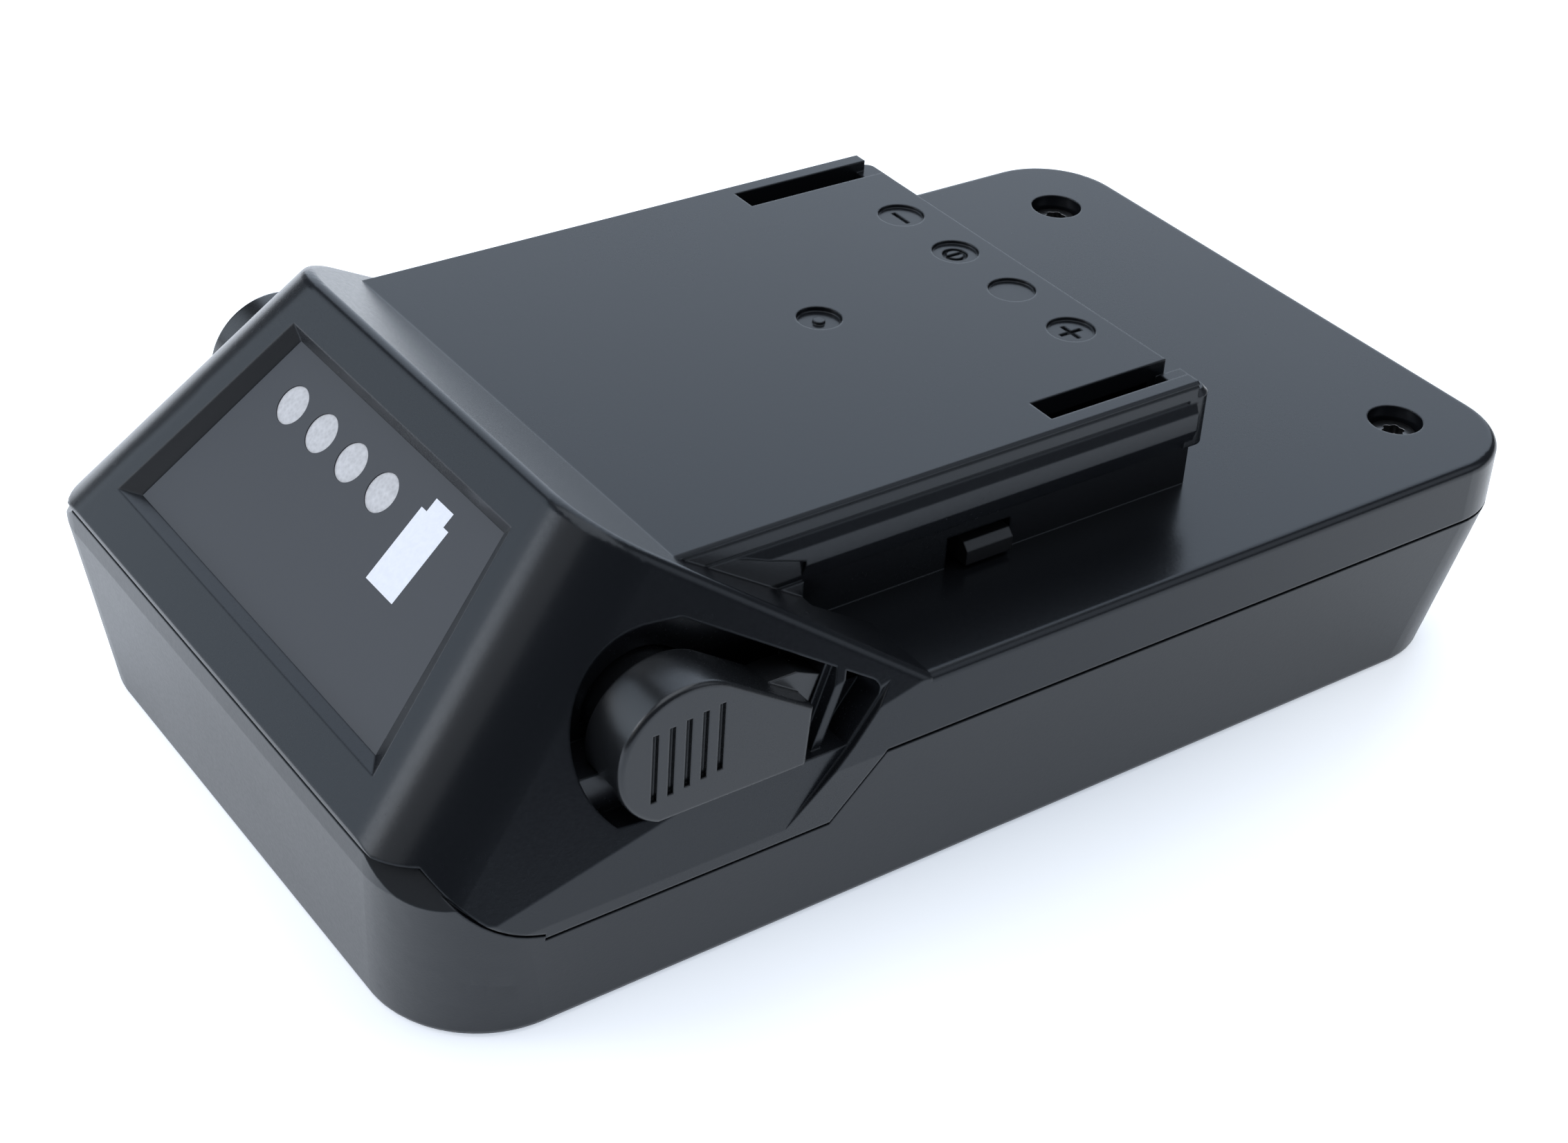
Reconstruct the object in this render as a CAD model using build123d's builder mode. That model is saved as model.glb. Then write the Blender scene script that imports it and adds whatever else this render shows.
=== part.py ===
from build123d import *
from math import cos, hypot, radians, sin
import os

os.makedirs("parts", exist_ok=True)

# Five cells lie across the pack in one row, and the case is sized around them
cell_count = 5
cell_radius = 9.2
cell_half_length = 32.6
cell_gap = 0.3
cell_pad_thickness = 0.9
cell_edge_radius = 0.8
cell_cap_radius = 3.3
cell_cap_height = 0.5
cell_groove_inset = 3.8
cell_groove_depth = 0.5
cell_groove_width = 1.6
holder_inner_x = 12.5
holder_end_gap = 0.4
holder_edge = 1.2
holder_cover = 0.9
holder_roof_gap = 0.3
holder_post_radius = 1.9
link_thickness = 0.2
link_half_height = 3.8
link_tab_width = 4.0
link_tab_gap = 0.02
ring_edge = 0.8
pad_side_gap = 1.0
insulation_thickness = 0.25
insulation_half_height = 6.0
insulation_side_gap = 2.95
screw_boss_radius = 3.4
screw_end_inset = 9.5
front_boss_gap = 5.8
rear_boss_gap = 0.8
wall = 2.0
floor_thickness = 1.8

cell_pitch = 2 * cell_radius + cell_gap
boss_room = holder_edge - cell_gap / 2 + screw_boss_radius + screw_end_inset
front_room = boss_room + front_boss_gap
rear_room = boss_room + rear_boss_gap
cell_axis_z = floor_thickness + cell_pad_thickness + cell_radius
holder_top_z = cell_axis_z + cell_radius + holder_cover

# Whole case: X is the width, Y the length with the gauge at -Y, Z is up
case_length = cell_count * cell_pitch + front_room + rear_room
case_width = 2 * (cell_half_length + link_thickness + insulation_thickness + insulation_side_gap + wall)
deck_height = holder_top_z + holder_roof_gap + wall
deck_corner_radius = 9.2
base_corner_radius = 10.9
base_inset = 2.5
base_edge_radius = 1.0
deck_edge_radius = 0.9

half_width = case_width / 2
front_y = -case_length / 2
rear_y = case_length / 2
far_reach = case_length

# Slanted head that carries the charge gauge
slope_foot_inset = 0.5
slope_foot_drop = 3.2
slope_depth = 21.4
ridge_rise = 18.3
ridge_edge_radius = 1.2
back_slope_depth = 28.5
side_panel_foot_inset = 4.2
side_panel_ridge_gap = 1.5
head_edge_radius = 9.4

slope_foot_y = front_y + slope_foot_inset
slope_foot_height = deck_height - slope_foot_drop
ridge_height = deck_height + ridge_rise
ridge_y = slope_foot_y + slope_depth
back_slope_end_y = ridge_y + back_slope_depth
slope_rise = ridge_height - slope_foot_height
slope_length = hypot(slope_depth, slope_rise)
slope_grade = slope_rise / slope_depth
back_slope_grade = ridge_rise / back_slope_depth

# Parting line between the two shells, seen from the side: it steps down
# under the buttons and rises in an arc round the front corners
parting_drop = 6.7
parting_step = 6.6
parting_front_drop = 1.3
parting_gap = 0.3
parting_gap_depth = 1.0
parting_step_gap = 24.2
parting_step_length = 5.1
parting_notch_inset = 12.2
parting_notch_height = 0.5
parting_rise_inset = 6.6
parting_rise_height = 3.8
parting_top_inset = 2.8
corner_bevel = 2.5
corner_bevel_angle = 42

parting_height = deck_height - parting_drop
parting_dip_height = parting_height - parting_step
parting_front_height = slope_foot_height - parting_front_drop
parting_rear_step_y = ridge_y + parting_step_gap
parting_dip_rear_y = parting_rear_step_y - parting_step_length
parting_dip_front_y = front_y + parting_notch_inset
parting_rise_middle_y = front_y + parting_rise_inset
parting_rise_middle_height = parting_dip_height + parting_rise_height
parting_rise_end_y = front_y + parting_top_inset

# Raised tower with the two slide rails
tower_rise = 13.2
tower_side_inset = 12.6
tower_front_gap = 7.8
tower_rear_inset = 39.2
tower_rear_wall = 2.0
rail_width = 2.3
rail_foot_width = 2.0
rail_bulge_width = 2.8
rail_depth = 7.1
rail_bulge_low = 2.0
rail_bulge_high = 3.9
rail_line_drop = 2.0
rail_line_depth = 0.25
rail_line_width = 0.3
rail_end_length = 2.1
rail_end_drop = 1.2
rail_end_radius = 1.6
channel_length = 6.9
channel_width = 3.6
bulge_front_gap = 0.3
bulge_front_rise = 2.5
guide_slot_inset = 2.7
guide_slot_outset = 0.5
guide_slot_length = 16.8
guide_slot_depth = 4.9

tower_height = deck_height + tower_rise
tower_wall_x = half_width - tower_side_inset
side_panel_foot_x = half_width - side_panel_foot_inset
side_panel_ridge_x = tower_wall_x + side_panel_ridge_gap
tower_front_y = ridge_y + tower_front_gap
tower_rear_y = rear_y - tower_rear_inset
rail_side_x = tower_wall_x + rail_width
rail_top_x = tower_wall_x + rail_foot_width
rail_bulge_x = tower_wall_x + rail_bulge_width
rail_bottom_z = tower_height - rail_depth
rail_bulge_low_z = rail_bottom_z + rail_bulge_low
rail_bulge_high_z = rail_bottom_z + rail_bulge_high
rail_line_z = tower_height - rail_line_drop
rail_end_y = tower_rear_y + rail_end_length
rail_end_top_z = tower_height - rail_end_drop
channel_front_y = back_slope_end_y - channel_length
bulge_front_y = channel_front_y - bulge_front_gap
bulge_front_z = rail_bottom_z + bulge_front_rise
guide_slot_inner_x = tower_wall_x - guide_slot_inset
guide_slot_outer_x = tower_wall_x + guide_slot_outset
guide_slot_front_y = tower_rear_y - guide_slot_length
guide_slot_floor_z = tower_height - guide_slot_depth
head_inside_end_y = channel_front_y - wall

# Engraved marks and the gate mark on the tower
mark_spacing = 9.15
mark_gap = 4.3
mark_radius = 2.4
mark_depth = 0.35
mark_stroke = 0.45
mark_arm = 1.3
gate_mark_gap = 24.5
gate_mark_radius = 2.24
gate_mark_depth = 0.5
gate_nub_radius = 0.6
gate_nub_height = 0.3

mark_y = tower_rear_y - mark_gap
gate_mark_y = tower_rear_y - gate_mark_gap
contact_positions = [mark_spacing * (n - 1.5) for n in range(4)]

# Case screws
screw_side_inset = 10.7
screw_recess_radius = 2.87
screw_head_radius = 2.45
screw_head_height = 1.9
screw_head_depth = 1.2
screw_shank_radius = 1.5
screw_clear_radius = 1.75
screw_length = 12.0
socket_radius = 1.25
socket_lobe_radius = 0.42
socket_depth = 1.1
boss_joint_drop = 1.6
front_boss_joint_drop = 2.0
front_screw_seat_z = 2.6

screw_x = half_width - screw_side_inset
rear_screw_y = rear_y - screw_end_inset
front_screw_y = front_y + screw_end_inset
screw_pilot_radius = screw_shank_radius
screw_head_top = deck_height - screw_head_depth
screw_seat = screw_head_top - screw_head_height
boss_joint_z = parting_height - boss_joint_drop
front_boss_joint_z = parting_dip_height - front_boss_joint_drop

# Charge gauge, measured up the slope from the bottom edge of the head.
# The recess has slanted sides from its rim down to the film.
gauge_bottom_s = 4.7
gauge_top_gap = 5.13
gauge_bottom_inset = 11.1
gauge_top_inset = 8.5
gauge_rim_bottom_width = 2.3
gauge_rim_top_width = 1.3
gauge_rim_low = 1.1
gauge_rim_high = 0.9
gauge_recess_depth = 1.0
gauge_film_thickness = 0.3
gauge_wall = 2.4
lens_radius = 1.95
lens_spacing = 5.63
lens_first_x = -13.7
lens_drop = 4.75
lens_count = 4
light_pipe_radius = 1.4
light_pipe_clearance = 0.05
icon_drop = 1.8
icon_cap_height = 1.4
icon_height = 9.1
icon_left_x = 8.4
icon_width = 4.6
icon_cap_inset = 0.85
gauge_board_inset = 1.7
gauge_board_low_s = 14.5
gauge_board_rise = 0.4
gauge_board_depth = 4.0
gauge_board_thickness = 1.2
gauge_post_inset = 2.4
gauge_post_s = 18.0
gauge_post_radius = 1.9
gauge_screw_radius = 0.8
gauge_screw_head_radius = 1.5
gauge_screw_head_height = 0.9
led_length = 2.0
led_width = 1.3
led_height = 0.7

gauge_top_s = slope_length - gauge_top_gap
gauge_bottom_half = side_panel_foot_x - gauge_bottom_inset
gauge_top_half = side_panel_ridge_x - gauge_top_inset
lens_s = gauge_top_s - lens_drop
icon_cap_s = gauge_top_s - icon_drop
icon_high_s = icon_cap_s - icon_cap_height
icon_low_s = icon_cap_s - icon_height
icon_right_x = icon_left_x + icon_width
gauge_board_half_x = gauge_bottom_half - gauge_board_inset
gauge_board_high_s = gauge_top_s + gauge_board_rise
gauge_post_x = gauge_board_half_x - gauge_post_inset

# Release buttons, one in a pocket on each side
button_ridge_gap = 3.3
button_rise = 1.4
button_radius = 6.8
button_inset = 0.1
button_top_angle = 56.9
button_foot_drop = 6.2
button_tail_length = 12.6
button_tail_drop = 0.1
button_tail_low_length = 12.2
button_plate_thickness = 1.1
button_cap_depth = 5.4
button_neck_inset = 1.6
button_edge_radius = 0.5
button_core_drop = 0.2
button_travel = 2.4
button_clearance = 0.25
button_flange_width = 1.2
button_flange_thickness = 1.6
button_flange_gap = 0.1
rib_slot_count = 5
rib_slot_pitch = 1.62
rib_slot_lead = 3.4
rib_slot_drop = 3.7
rib_slot_height = 6.9
rib_slot_width = 0.6
rib_slot_depth = 0.5
rib_slot_rise = 0.2
tail_step_inset = 2.6
tail_step_depth = 3.1

pocket_radius = 8.6
pocket_depth = 8.5
pocket_shelf_depth = 3.8
pocket_shelf_drop = 0.5
pocket_wall = 1.4
pocket_floor_wall = 1.5
pocket_corner_radius = 1.2
pocket_rib_inset = 1.6
pocket_rib_step = 1.2
panel_inset = 0.7

button_y = ridge_y + button_ridge_gap
button_z = deck_height + button_rise
button_face_x = half_width - button_inset
button_foot_z = button_z - button_foot_drop
button_tail_y = button_y + button_tail_length
button_tail_top_z = button_z - button_tail_drop
button_tail_low_y = button_y + button_tail_low_length
button_cap_back_x = button_face_x - button_cap_depth
button_core_foot_z = deck_height - button_core_drop
rib_slot_first_y = button_y - rib_slot_lead
rib_slot_low_z = button_z - rib_slot_drop
tail_step_x = button_face_x - tail_step_inset
tail_step_back_x = tail_step_x - tail_step_depth
pocket_floor_x = half_width - pocket_depth
pocket_shelf_x = half_width - pocket_shelf_depth
pocket_shelf_z = deck_height - pocket_shelf_drop
pocket_rib_x = half_width - pocket_rib_inset
pocket_rib_base_x = pocket_rib_x - pocket_rib_step
panel_x = half_width - panel_inset
pocket_inner_x = pocket_floor_x - pocket_floor_wall
flange_outer_x = pocket_inner_x - button_flange_gap
flange_inner_x = flange_outer_x - button_flange_thickness

# Latch slide behind each button, with the tooth that holds the pack
latch_bar_clearance = 0.3
latch_bar_thickness = 2.8
latch_rise = 0.6
latch_height = 2.2
latch_tooth_gap = 20.6
latch_tooth_length = 5.4
latch_tooth_reach = 1.3
latch_tooth_chamfer = 0.7
latch_foot_gap = 9.3
latch_foot_length = 2.5
latch_peg_radius = 0.7
latch_peg_length = 1.0
latch_window_front_gap = 1.4
latch_window_rear_gap = 0.6
latch_window_rise = 0.5

latch_bar_outer_x = tower_wall_x - wall - latch_bar_clearance
latch_bar_inner_x = latch_bar_outer_x - latch_bar_thickness
latch_low_z = deck_height + latch_rise
latch_high_z = latch_low_z + latch_height
latch_rear_y = tower_rear_y - latch_tooth_gap
latch_tooth_front_y = latch_rear_y - latch_tooth_length
latch_tooth_x = tower_wall_x + latch_tooth_reach
latch_foot_front_y = button_y + latch_foot_gap
latch_foot_rear_y = latch_foot_front_y + latch_foot_length
latch_window_front_y = latch_tooth_front_y - latch_window_front_gap
latch_window_rear_y = latch_rear_y + latch_window_rear_gap
latch_window_high_z = latch_high_z + latch_window_rise

# Return springs behind the buttons
spring_back_gap = 2.3
spring_rise = 2.7
spring_outer_radius = 2.6
spring_wire_radius = 0.25
spring_turns = 7
spring_end_gap = 0.02
spring_boss_radius = 1.5
spring_seat_length = 14.3
travel_stop_gap = 0.1
spring_stop_thickness = 2.0
spring_stop_half_y = 3.0
spring_stop_drop = 0.9

spring_y = button_y + spring_back_gap
spring_z = button_z + spring_rise
spring_stop_x = flange_inner_x - spring_seat_length
spring_stop_low_z = deck_height - spring_stop_drop
spring_boss_length = spring_seat_length - button_travel - travel_stop_gap

# Places of the cells, holders and links
cell_rear_y = rear_y - rear_room - cell_pitch / 2
cell_centres = [cell_rear_y - cell_pitch * (cell_count - 1 - n) for n in range(cell_count)]
cell_groove_x = cell_half_length - cell_groove_inset
holder_outer_x = cell_half_length - holder_end_gap
holder_front_y = cell_centres[0] - cell_radius - holder_edge
holder_rear_y = cell_centres[-1] + cell_radius + holder_edge
pad_half_x = holder_inner_x - pad_side_gap
ring_outer_radius = cell_radius - ring_edge

# Protection board and contact block
board_side_gap = 3.0
board_front_gap = 4.3
board_rear_gap = 2.5
board_lift = 0.6
board_thickness = 1.6
board_screw_x = 14.5
board_screw_radius = 1.0
board_screw_head_radius = 1.9
board_screw_head_height = 1.3
board_screw_length = 7.0
block_side_gap = 3.0
block_length = 11.1
block_top_gap = 0.3
block_wall_clearance = 0.2
fork_half_gap = 0.45
fork_thickness = 0.6
fork_lead = 1.9
fork_rise = 2.4
fork_drop = 0.8
fork_pocket_clearance = 0.1
contact_slot_width = 2.6
contact_slot_margin = 0.4

transistor_x = 7.0
transistor_width = 10.0
transistor_length = 9.0
transistor_height = 4.4
transistor_gap = 12.0
controller_size = 7.0
controller_height = 1.2
controller_gap = 26.0
sensor_length = 3.0
sensor_width = 2.0
socket_half_x = 5.0
socket_length = 3.5
socket_height = 1.6
socket_gap = 0.6
cable_half_x = 4.0
cable_thickness = 0.3
cable_lead = 1.0
cable_sag_steps = [(0.42, -1.62), (4.72, -3.52)]
cable_rise_steps = [(-6.6, -1.5), (-2.6, -0.3)]

board_half_x = tower_wall_x - board_side_gap
board_front_y = tower_front_y + board_front_gap
board_rear_y = tower_rear_y - board_rear_gap
board_bottom_z = holder_top_z + board_lift
board_top_z = board_bottom_z + board_thickness
board_screw_front_y = cell_centres[0] + cell_pitch / 2
board_screw_rear_y = cell_centres[1] + cell_pitch / 2
block_half_x = board_half_x - block_side_gap
block_rear_y = tower_rear_y - tower_rear_wall - block_wall_clearance
block_front_y = block_rear_y - block_length
block_top_z = tower_height - wall - block_top_gap
fork_front_y = block_front_y + fork_lead
fork_low_z = board_top_z + fork_rise
fork_high_z = block_top_z - fork_drop
contact_slot_low_z = fork_low_z - contact_slot_margin
contact_slot_high_z = fork_high_z + contact_slot_margin
transistor_front_y = board_front_y + transistor_gap
controller_front_y = board_front_y + controller_gap

locating_rib_thickness = 1.5
locating_rib_width = 8.0
locating_rib_height = 10.0

inside_shift = gauge_wall * slope_length / slope_rise
inside_drop = wall * hypot(1, back_slope_grade)

# Outlines seen from the side, as steps in Y and Z from the middle of the button
pocket_steps = [
    (0.0, 8.6),
    (3.2, 8.5),
    (20.6, -1.0),
    (16.4, -6.7),
    (15.9, -13.7),
    (0.0, -13.7),
]
panel_steps = [
    (-27.2, -15.7),
    (8.4, -15.7),
    (17.2, -6.0),
    (21.2, -0.7),
    (2.8, 10.3),
    (-27.2, 10.3),
]
pocket_rib_steps = [
    (16.5, 2.1),
    (17.5, 2.1),
    (14.3, -7.3),
    (13.3, -7.3),
]
pocket_rib_base_steps = [
    (15.6, 2.1),
    (17.5, 2.1),
    (14.3, -7.3),
    (12.4, -7.3),
]
tail_step_steps = [
    (9.3, -1.7),
    (9.3, 2.0),
    (12.4, 2.0),
    (14.8, 0.9),
    (13.8, -1.7),
]


def from_button(steps):
    """Points in the side view, given as steps from the middle of the button."""
    return [(button_y + y, button_z + z) for y, z in steps]


pocket_points = from_button(pocket_steps)
panel_points = from_button(panel_steps)
pocket_rib_points = from_button(pocket_rib_steps)
pocket_rib_base_points = from_button(pocket_rib_base_steps)
tail_step_points = from_button(tail_step_steps)

side_view = Plane.YZ
gauge_plane = Plane(
    origin=(0, slope_foot_y, slope_foot_height),
    x_dir=(1, 0, 0),
    z_dir=(0, -slope_rise, slope_depth),
)

film_plane = gauge_plane.offset(-gauge_recess_depth)
film_corners = [
    (-gauge_bottom_half, gauge_bottom_s),
    (gauge_bottom_half, gauge_bottom_s),
    (gauge_top_half, gauge_top_s),
    (-gauge_top_half, gauge_top_s),
]


def side_panel_plane(side):
    """Outer face of the leaning side panel on one side of the head."""
    foot = Vector(side * side_panel_foot_x, slope_foot_y, slope_foot_height)
    peak = Vector(side * side_panel_ridge_x, ridge_y, ridge_height)
    rear = Vector(side * half_width, back_slope_end_y, deck_height)
    normal = (peak - foot).cross(rear - foot)
    if normal.X * side < 0:
        normal = normal * -1
    return Plane(origin=foot, x_dir=(rear - foot), z_dir=normal)


def corner_plane(side, depth, angle):
    """Plane across a front corner of the case, at a depth inside its rounding."""
    diagonal = cos(radians(45))
    reach = (deck_corner_radius - depth) * diagonal
    place = (
        side * (half_width - deck_corner_radius + reach),
        front_y + deck_corner_radius - reach,
        parting_front_height,
    )
    level = cos(radians(angle)) * diagonal
    return Plane(origin=place, z_dir=(side * level, -level, sin(radians(angle))))


def back_slope_height(y):
    """Height of the slope behind the ridge."""
    return ridge_height - back_slope_grade * (y - ridge_y)


def envelope(inset, low, high):
    """Outer form of the case, drawn in by inset, between two heights."""
    base_half_x = half_width - base_inset - inset
    base_half_y = case_length / 2 - base_inset - inset
    top_half_x = half_width - inset
    top_half_y = case_length / 2 - inset
    share = low / parting_height
    low_half_x = base_half_x + (top_half_x - base_half_x) * share
    low_half_y = base_half_y + (top_half_y - base_half_y) * share
    low_radius = base_corner_radius + (deck_corner_radius - base_corner_radius) * share - inset
    with BuildSketch(Plane.XY.offset(low)) as low_outline:
        RectangleRounded(2 * low_half_x, 2 * low_half_y, low_radius)
    with BuildSketch(Plane.XY.offset(parting_height)) as top_outline:
        RectangleRounded(2 * top_half_x, 2 * top_half_y, deck_corner_radius - inset)
    loft([low_outline.sketch.face(), top_outline.sketch.face()], ruled=True)
    if high > parting_height:
        extrude(top_outline.sketch, amount=high - parting_height)


def parting_prism(lift):
    """Everything below the parting line, raised by lift."""
    dip = parting_dip_height + lift
    rise_start = (parting_dip_front_y, dip + parting_notch_height)
    rise_middle = (parting_rise_middle_y, parting_rise_middle_height + lift)
    rise_end = (parting_rise_end_y, parting_front_height + lift)
    with BuildSketch(side_view.offset(-far_reach)) as outline:
        with BuildLine():
            Polyline(
                rise_end,
                (-far_reach, parting_front_height + lift),
                (-far_reach, -far_reach),
                (far_reach, -far_reach),
                (far_reach, parting_height + lift),
                (parting_rear_step_y, parting_height + lift),
                (parting_dip_rear_y, dip),
                (parting_dip_front_y, dip),
                rise_start,
            )
            ThreePointArc(rise_start, rise_middle, rise_end)
        make_face()
    extrude(outline.sketch, amount=2 * far_reach)


def side_prism(points, low_x, high_x, mode=Mode.ADD):
    """Prism with the given side view between two X positions."""
    with BuildSketch(side_view.offset(low_x)) as outline:
        Polygon(*points, align=None)
    extrude(outline.sketch, amount=high_x - low_x, mode=mode)


def side_prism_both(points, low_x, high_x, mode=Mode.ADD):
    """The same prism on the right and, mirrored, on the left."""
    side_prism(points, low_x, high_x, mode)
    side_prism(points, -high_x, -low_x, mode)


def block(low, high, mode=Mode.ADD):
    """Box between two opposite corners."""
    centre = [(a + b) / 2 for a, b in zip(low, high)]
    size = [b - a for a, b in zip(low, high)]
    with Locations(tuple(centre)):
        Box(*size, mode=mode)


def upright(x, y, radius, low, high, mode=Mode.ADD):
    """Upright cylinder between two heights."""
    with Locations((x, y, (low + high) / 2)):
        Cylinder(radius, high - low, mode=mode)


def six_lobe_socket(x, y, top, depth, direction):
    """Six-lobe driving socket cut into a screw head."""
    with BuildSketch(Plane.XY.offset(top)) as socket:
        with Locations((x, y)):
            Circle(socket_radius)
            with PolarLocations(socket_radius, 6):
                Circle(socket_lobe_radius)
    extrude(socket.sketch, amount=depth * direction, mode=Mode.SUBTRACT)


# Region under the parting line, used to part the two shells
with BuildPart() as below_parting:
    parting_prism(0)

with BuildPart() as below_raised_parting:
    parting_prism(parting_gap)

def front_corner_edges(head):
    """Edges between the slanted face and the side panels."""
    slanted_edges = head.edges().filter_by(
        lambda edge: edge.center().Y < ridge_y - 1 and edge.center().Z > 1 and abs(edge.center().X) > 1
    )
    return slanted_edges.filter_by(
        lambda edge: abs((edge @ 1 - edge @ 0).Z) > slope_rise and abs(edge.center().Y - (edge @ 0).Y) > 1
    )


# Slanted head as a closed block
with BuildPart() as head_envelope:
    envelope(0, 0, far_reach)

head_side = [
    (slope_foot_y - slope_foot_height / slope_grade, 0),
    (ridge_y, ridge_height),
    (back_slope_end_y, deck_height),
    (back_slope_end_y, 0),
]
with BuildPart() as head_block:
    side_prism(head_side, -far_reach, far_reach)
    for side in (1, -1):
        split(bisect_by=side_panel_plane(side), keep=Keep.BOTTOM)
    fillet(front_corner_edges(head_block), head_edge_radius)

    ridge_edges = head_block.edges().filter_by(
        lambda edge: abs(edge.center().Z - ridge_height) < 0.01 and abs(edge.center().X) < 0.01
    )
    fillet(ridge_edges, ridge_edge_radius)
    add(head_envelope.part, mode=Mode.INTERSECT)


# Hollow inside the head, the rim and the tower
with BuildPart() as inner_envelope:
    envelope(wall, 0, far_reach)

inside_ridge_y = (
    ridge_height + back_slope_grade * ridge_y - inside_drop - slope_foot_height
    + slope_grade * (inside_shift + slope_foot_y)
) / (slope_grade + back_slope_grade)
head_inside = [
    (slope_foot_y - slope_foot_height / slope_grade + inside_shift, 0),
    (inside_ridge_y, back_slope_height(inside_ridge_y) - inside_drop),
    (head_inside_end_y, back_slope_height(head_inside_end_y) - inside_drop),
    (head_inside_end_y, 0),
]
with BuildPart() as head_hollow:
    side_prism(head_inside, -far_reach, far_reach)
    for side in (1, -1):
        split(bisect_by=side_panel_plane(side).offset(-wall), keep=Keep.BOTTOM)
    fillet(front_corner_edges(head_hollow), head_edge_radius - wall)
    add(inner_envelope.part, mode=Mode.INTERSECT)

with BuildPart() as rim_hollow:
    envelope(wall, 0, deck_height - wall)
    block((-far_reach, -far_reach, -1), (far_reach, head_inside_end_y, far_reach), mode=Mode.SUBTRACT)


def button_outline(growth, foot_z):
    """Side view of a button: round nose at the front, short tail at the rear."""
    tangent = radians(button_top_angle)
    nose_top = (button_y + button_radius * cos(tangent), button_z + button_radius * sin(tangent))
    with BuildSketch(side_view) as outline:
        with Locations((button_y, button_z)):
            Circle(button_radius)
        Polygon(
            (button_y, button_z),
            (button_y, button_foot_z),
            (button_tail_low_y, button_foot_z),
            (button_tail_y, button_tail_top_z),
            nose_top,
            align=None,
        )
        if growth:
            offset(amount=growth)
        with Locations((button_y, foot_z - growth - far_reach / 2)):
            Rectangle(2 * far_reach, far_reach, mode=Mode.SUBTRACT)
    return outline.sketch


def pocket_outline(growth, foot_z):
    """Side view of the recess around a button, cut off slanting at the rear."""
    with BuildSketch(side_view) as outline:
        with Locations((button_y, button_z)):
            Circle(pocket_radius)
        Polygon(*pocket_points, align=None)
        offset(amount=-pocket_corner_radius)
        offset(amount=pocket_corner_radius + growth)
        with Locations((button_y, foot_z - growth - far_reach / 2)):
            Rectangle(2 * far_reach, far_reach, mode=Mode.SUBTRACT)
    return outline.sketch


def side_extrusion(outline, low_x, high_x, sides=(1, -1), mode=Mode.ADD):
    """Extrude a side view on the right and, mirrored, on the left."""
    for side in sides:
        start = low_x if side > 0 else -high_x
        extrude(Pos(start, 0, 0) * outline, amount=high_x - low_x, mode=mode)


def both_sides(low, high, mode=Mode.ADD):
    """A box on the right and its mirror image on the left."""
    block(low, high, mode)
    block((-high[0], low[1], low[2]), (-low[0], high[1], high[2]), mode)


with BuildPart() as shell_hollow:
    add(head_hollow.part)
    add(rim_hollow.part)
    block(
        (-tower_wall_x + wall, tower_front_y - wall, 0),
        (tower_wall_x - wall, tower_rear_y - tower_rear_wall, tower_height - wall),
    )
    deep_pocket = pocket_outline(pocket_wall, pocket_shelf_z)
    shallow_pocket = pocket_outline(pocket_wall, button_foot_z)
    side_extrusion(deep_pocket, pocket_inner_x, far_reach, mode=Mode.SUBTRACT)
    side_extrusion(shallow_pocket, pocket_shelf_x - pocket_wall, far_reach, mode=Mode.SUBTRACT)

# Section of one slide rail, as pairs of X and Z
rail_section = [
    (tower_wall_x - wall, rail_bottom_z),
    (tower_wall_x - wall, tower_height),
    (rail_top_x, tower_height),
    (rail_side_x, tower_height - rail_line_width),
    (rail_side_x - rail_line_depth, tower_height - 1.5 * rail_line_width),
    (rail_side_x, tower_height - 2 * rail_line_width),
    (rail_side_x, rail_line_z + rail_line_width / 2),
    (rail_side_x - rail_line_depth, rail_line_z),
    (rail_side_x, rail_line_z - rail_line_width / 2),
    (rail_bulge_x, rail_bulge_high_z),
    (rail_bulge_x, rail_bulge_low_z),
    (rail_top_x, rail_bottom_z),
]
with BuildPart() as rails:
    for side in (1, -1):
        with BuildSketch(Plane.XZ.offset(-tower_front_y)) as section:
            Polygon(*[(side * x, z) for x, z in rail_section], align=None)
        extrude(section.sketch, amount=-(tower_rear_y - tower_front_y))
    both_sides(
        (tower_wall_x - wall, tower_front_y, deck_height), (rail_side_x, channel_front_y, rail_bottom_z)
    )
    side_prism_both(
        [
            (tower_front_y - wall, tower_height),
            (tower_front_y, tower_height),
            (bulge_front_y, bulge_front_z),
            (bulge_front_y, deck_height),
            (tower_front_y - wall, deck_height),
        ],
        rail_side_x,
        rail_side_x + wall,
        Mode.SUBTRACT,
    )

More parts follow.
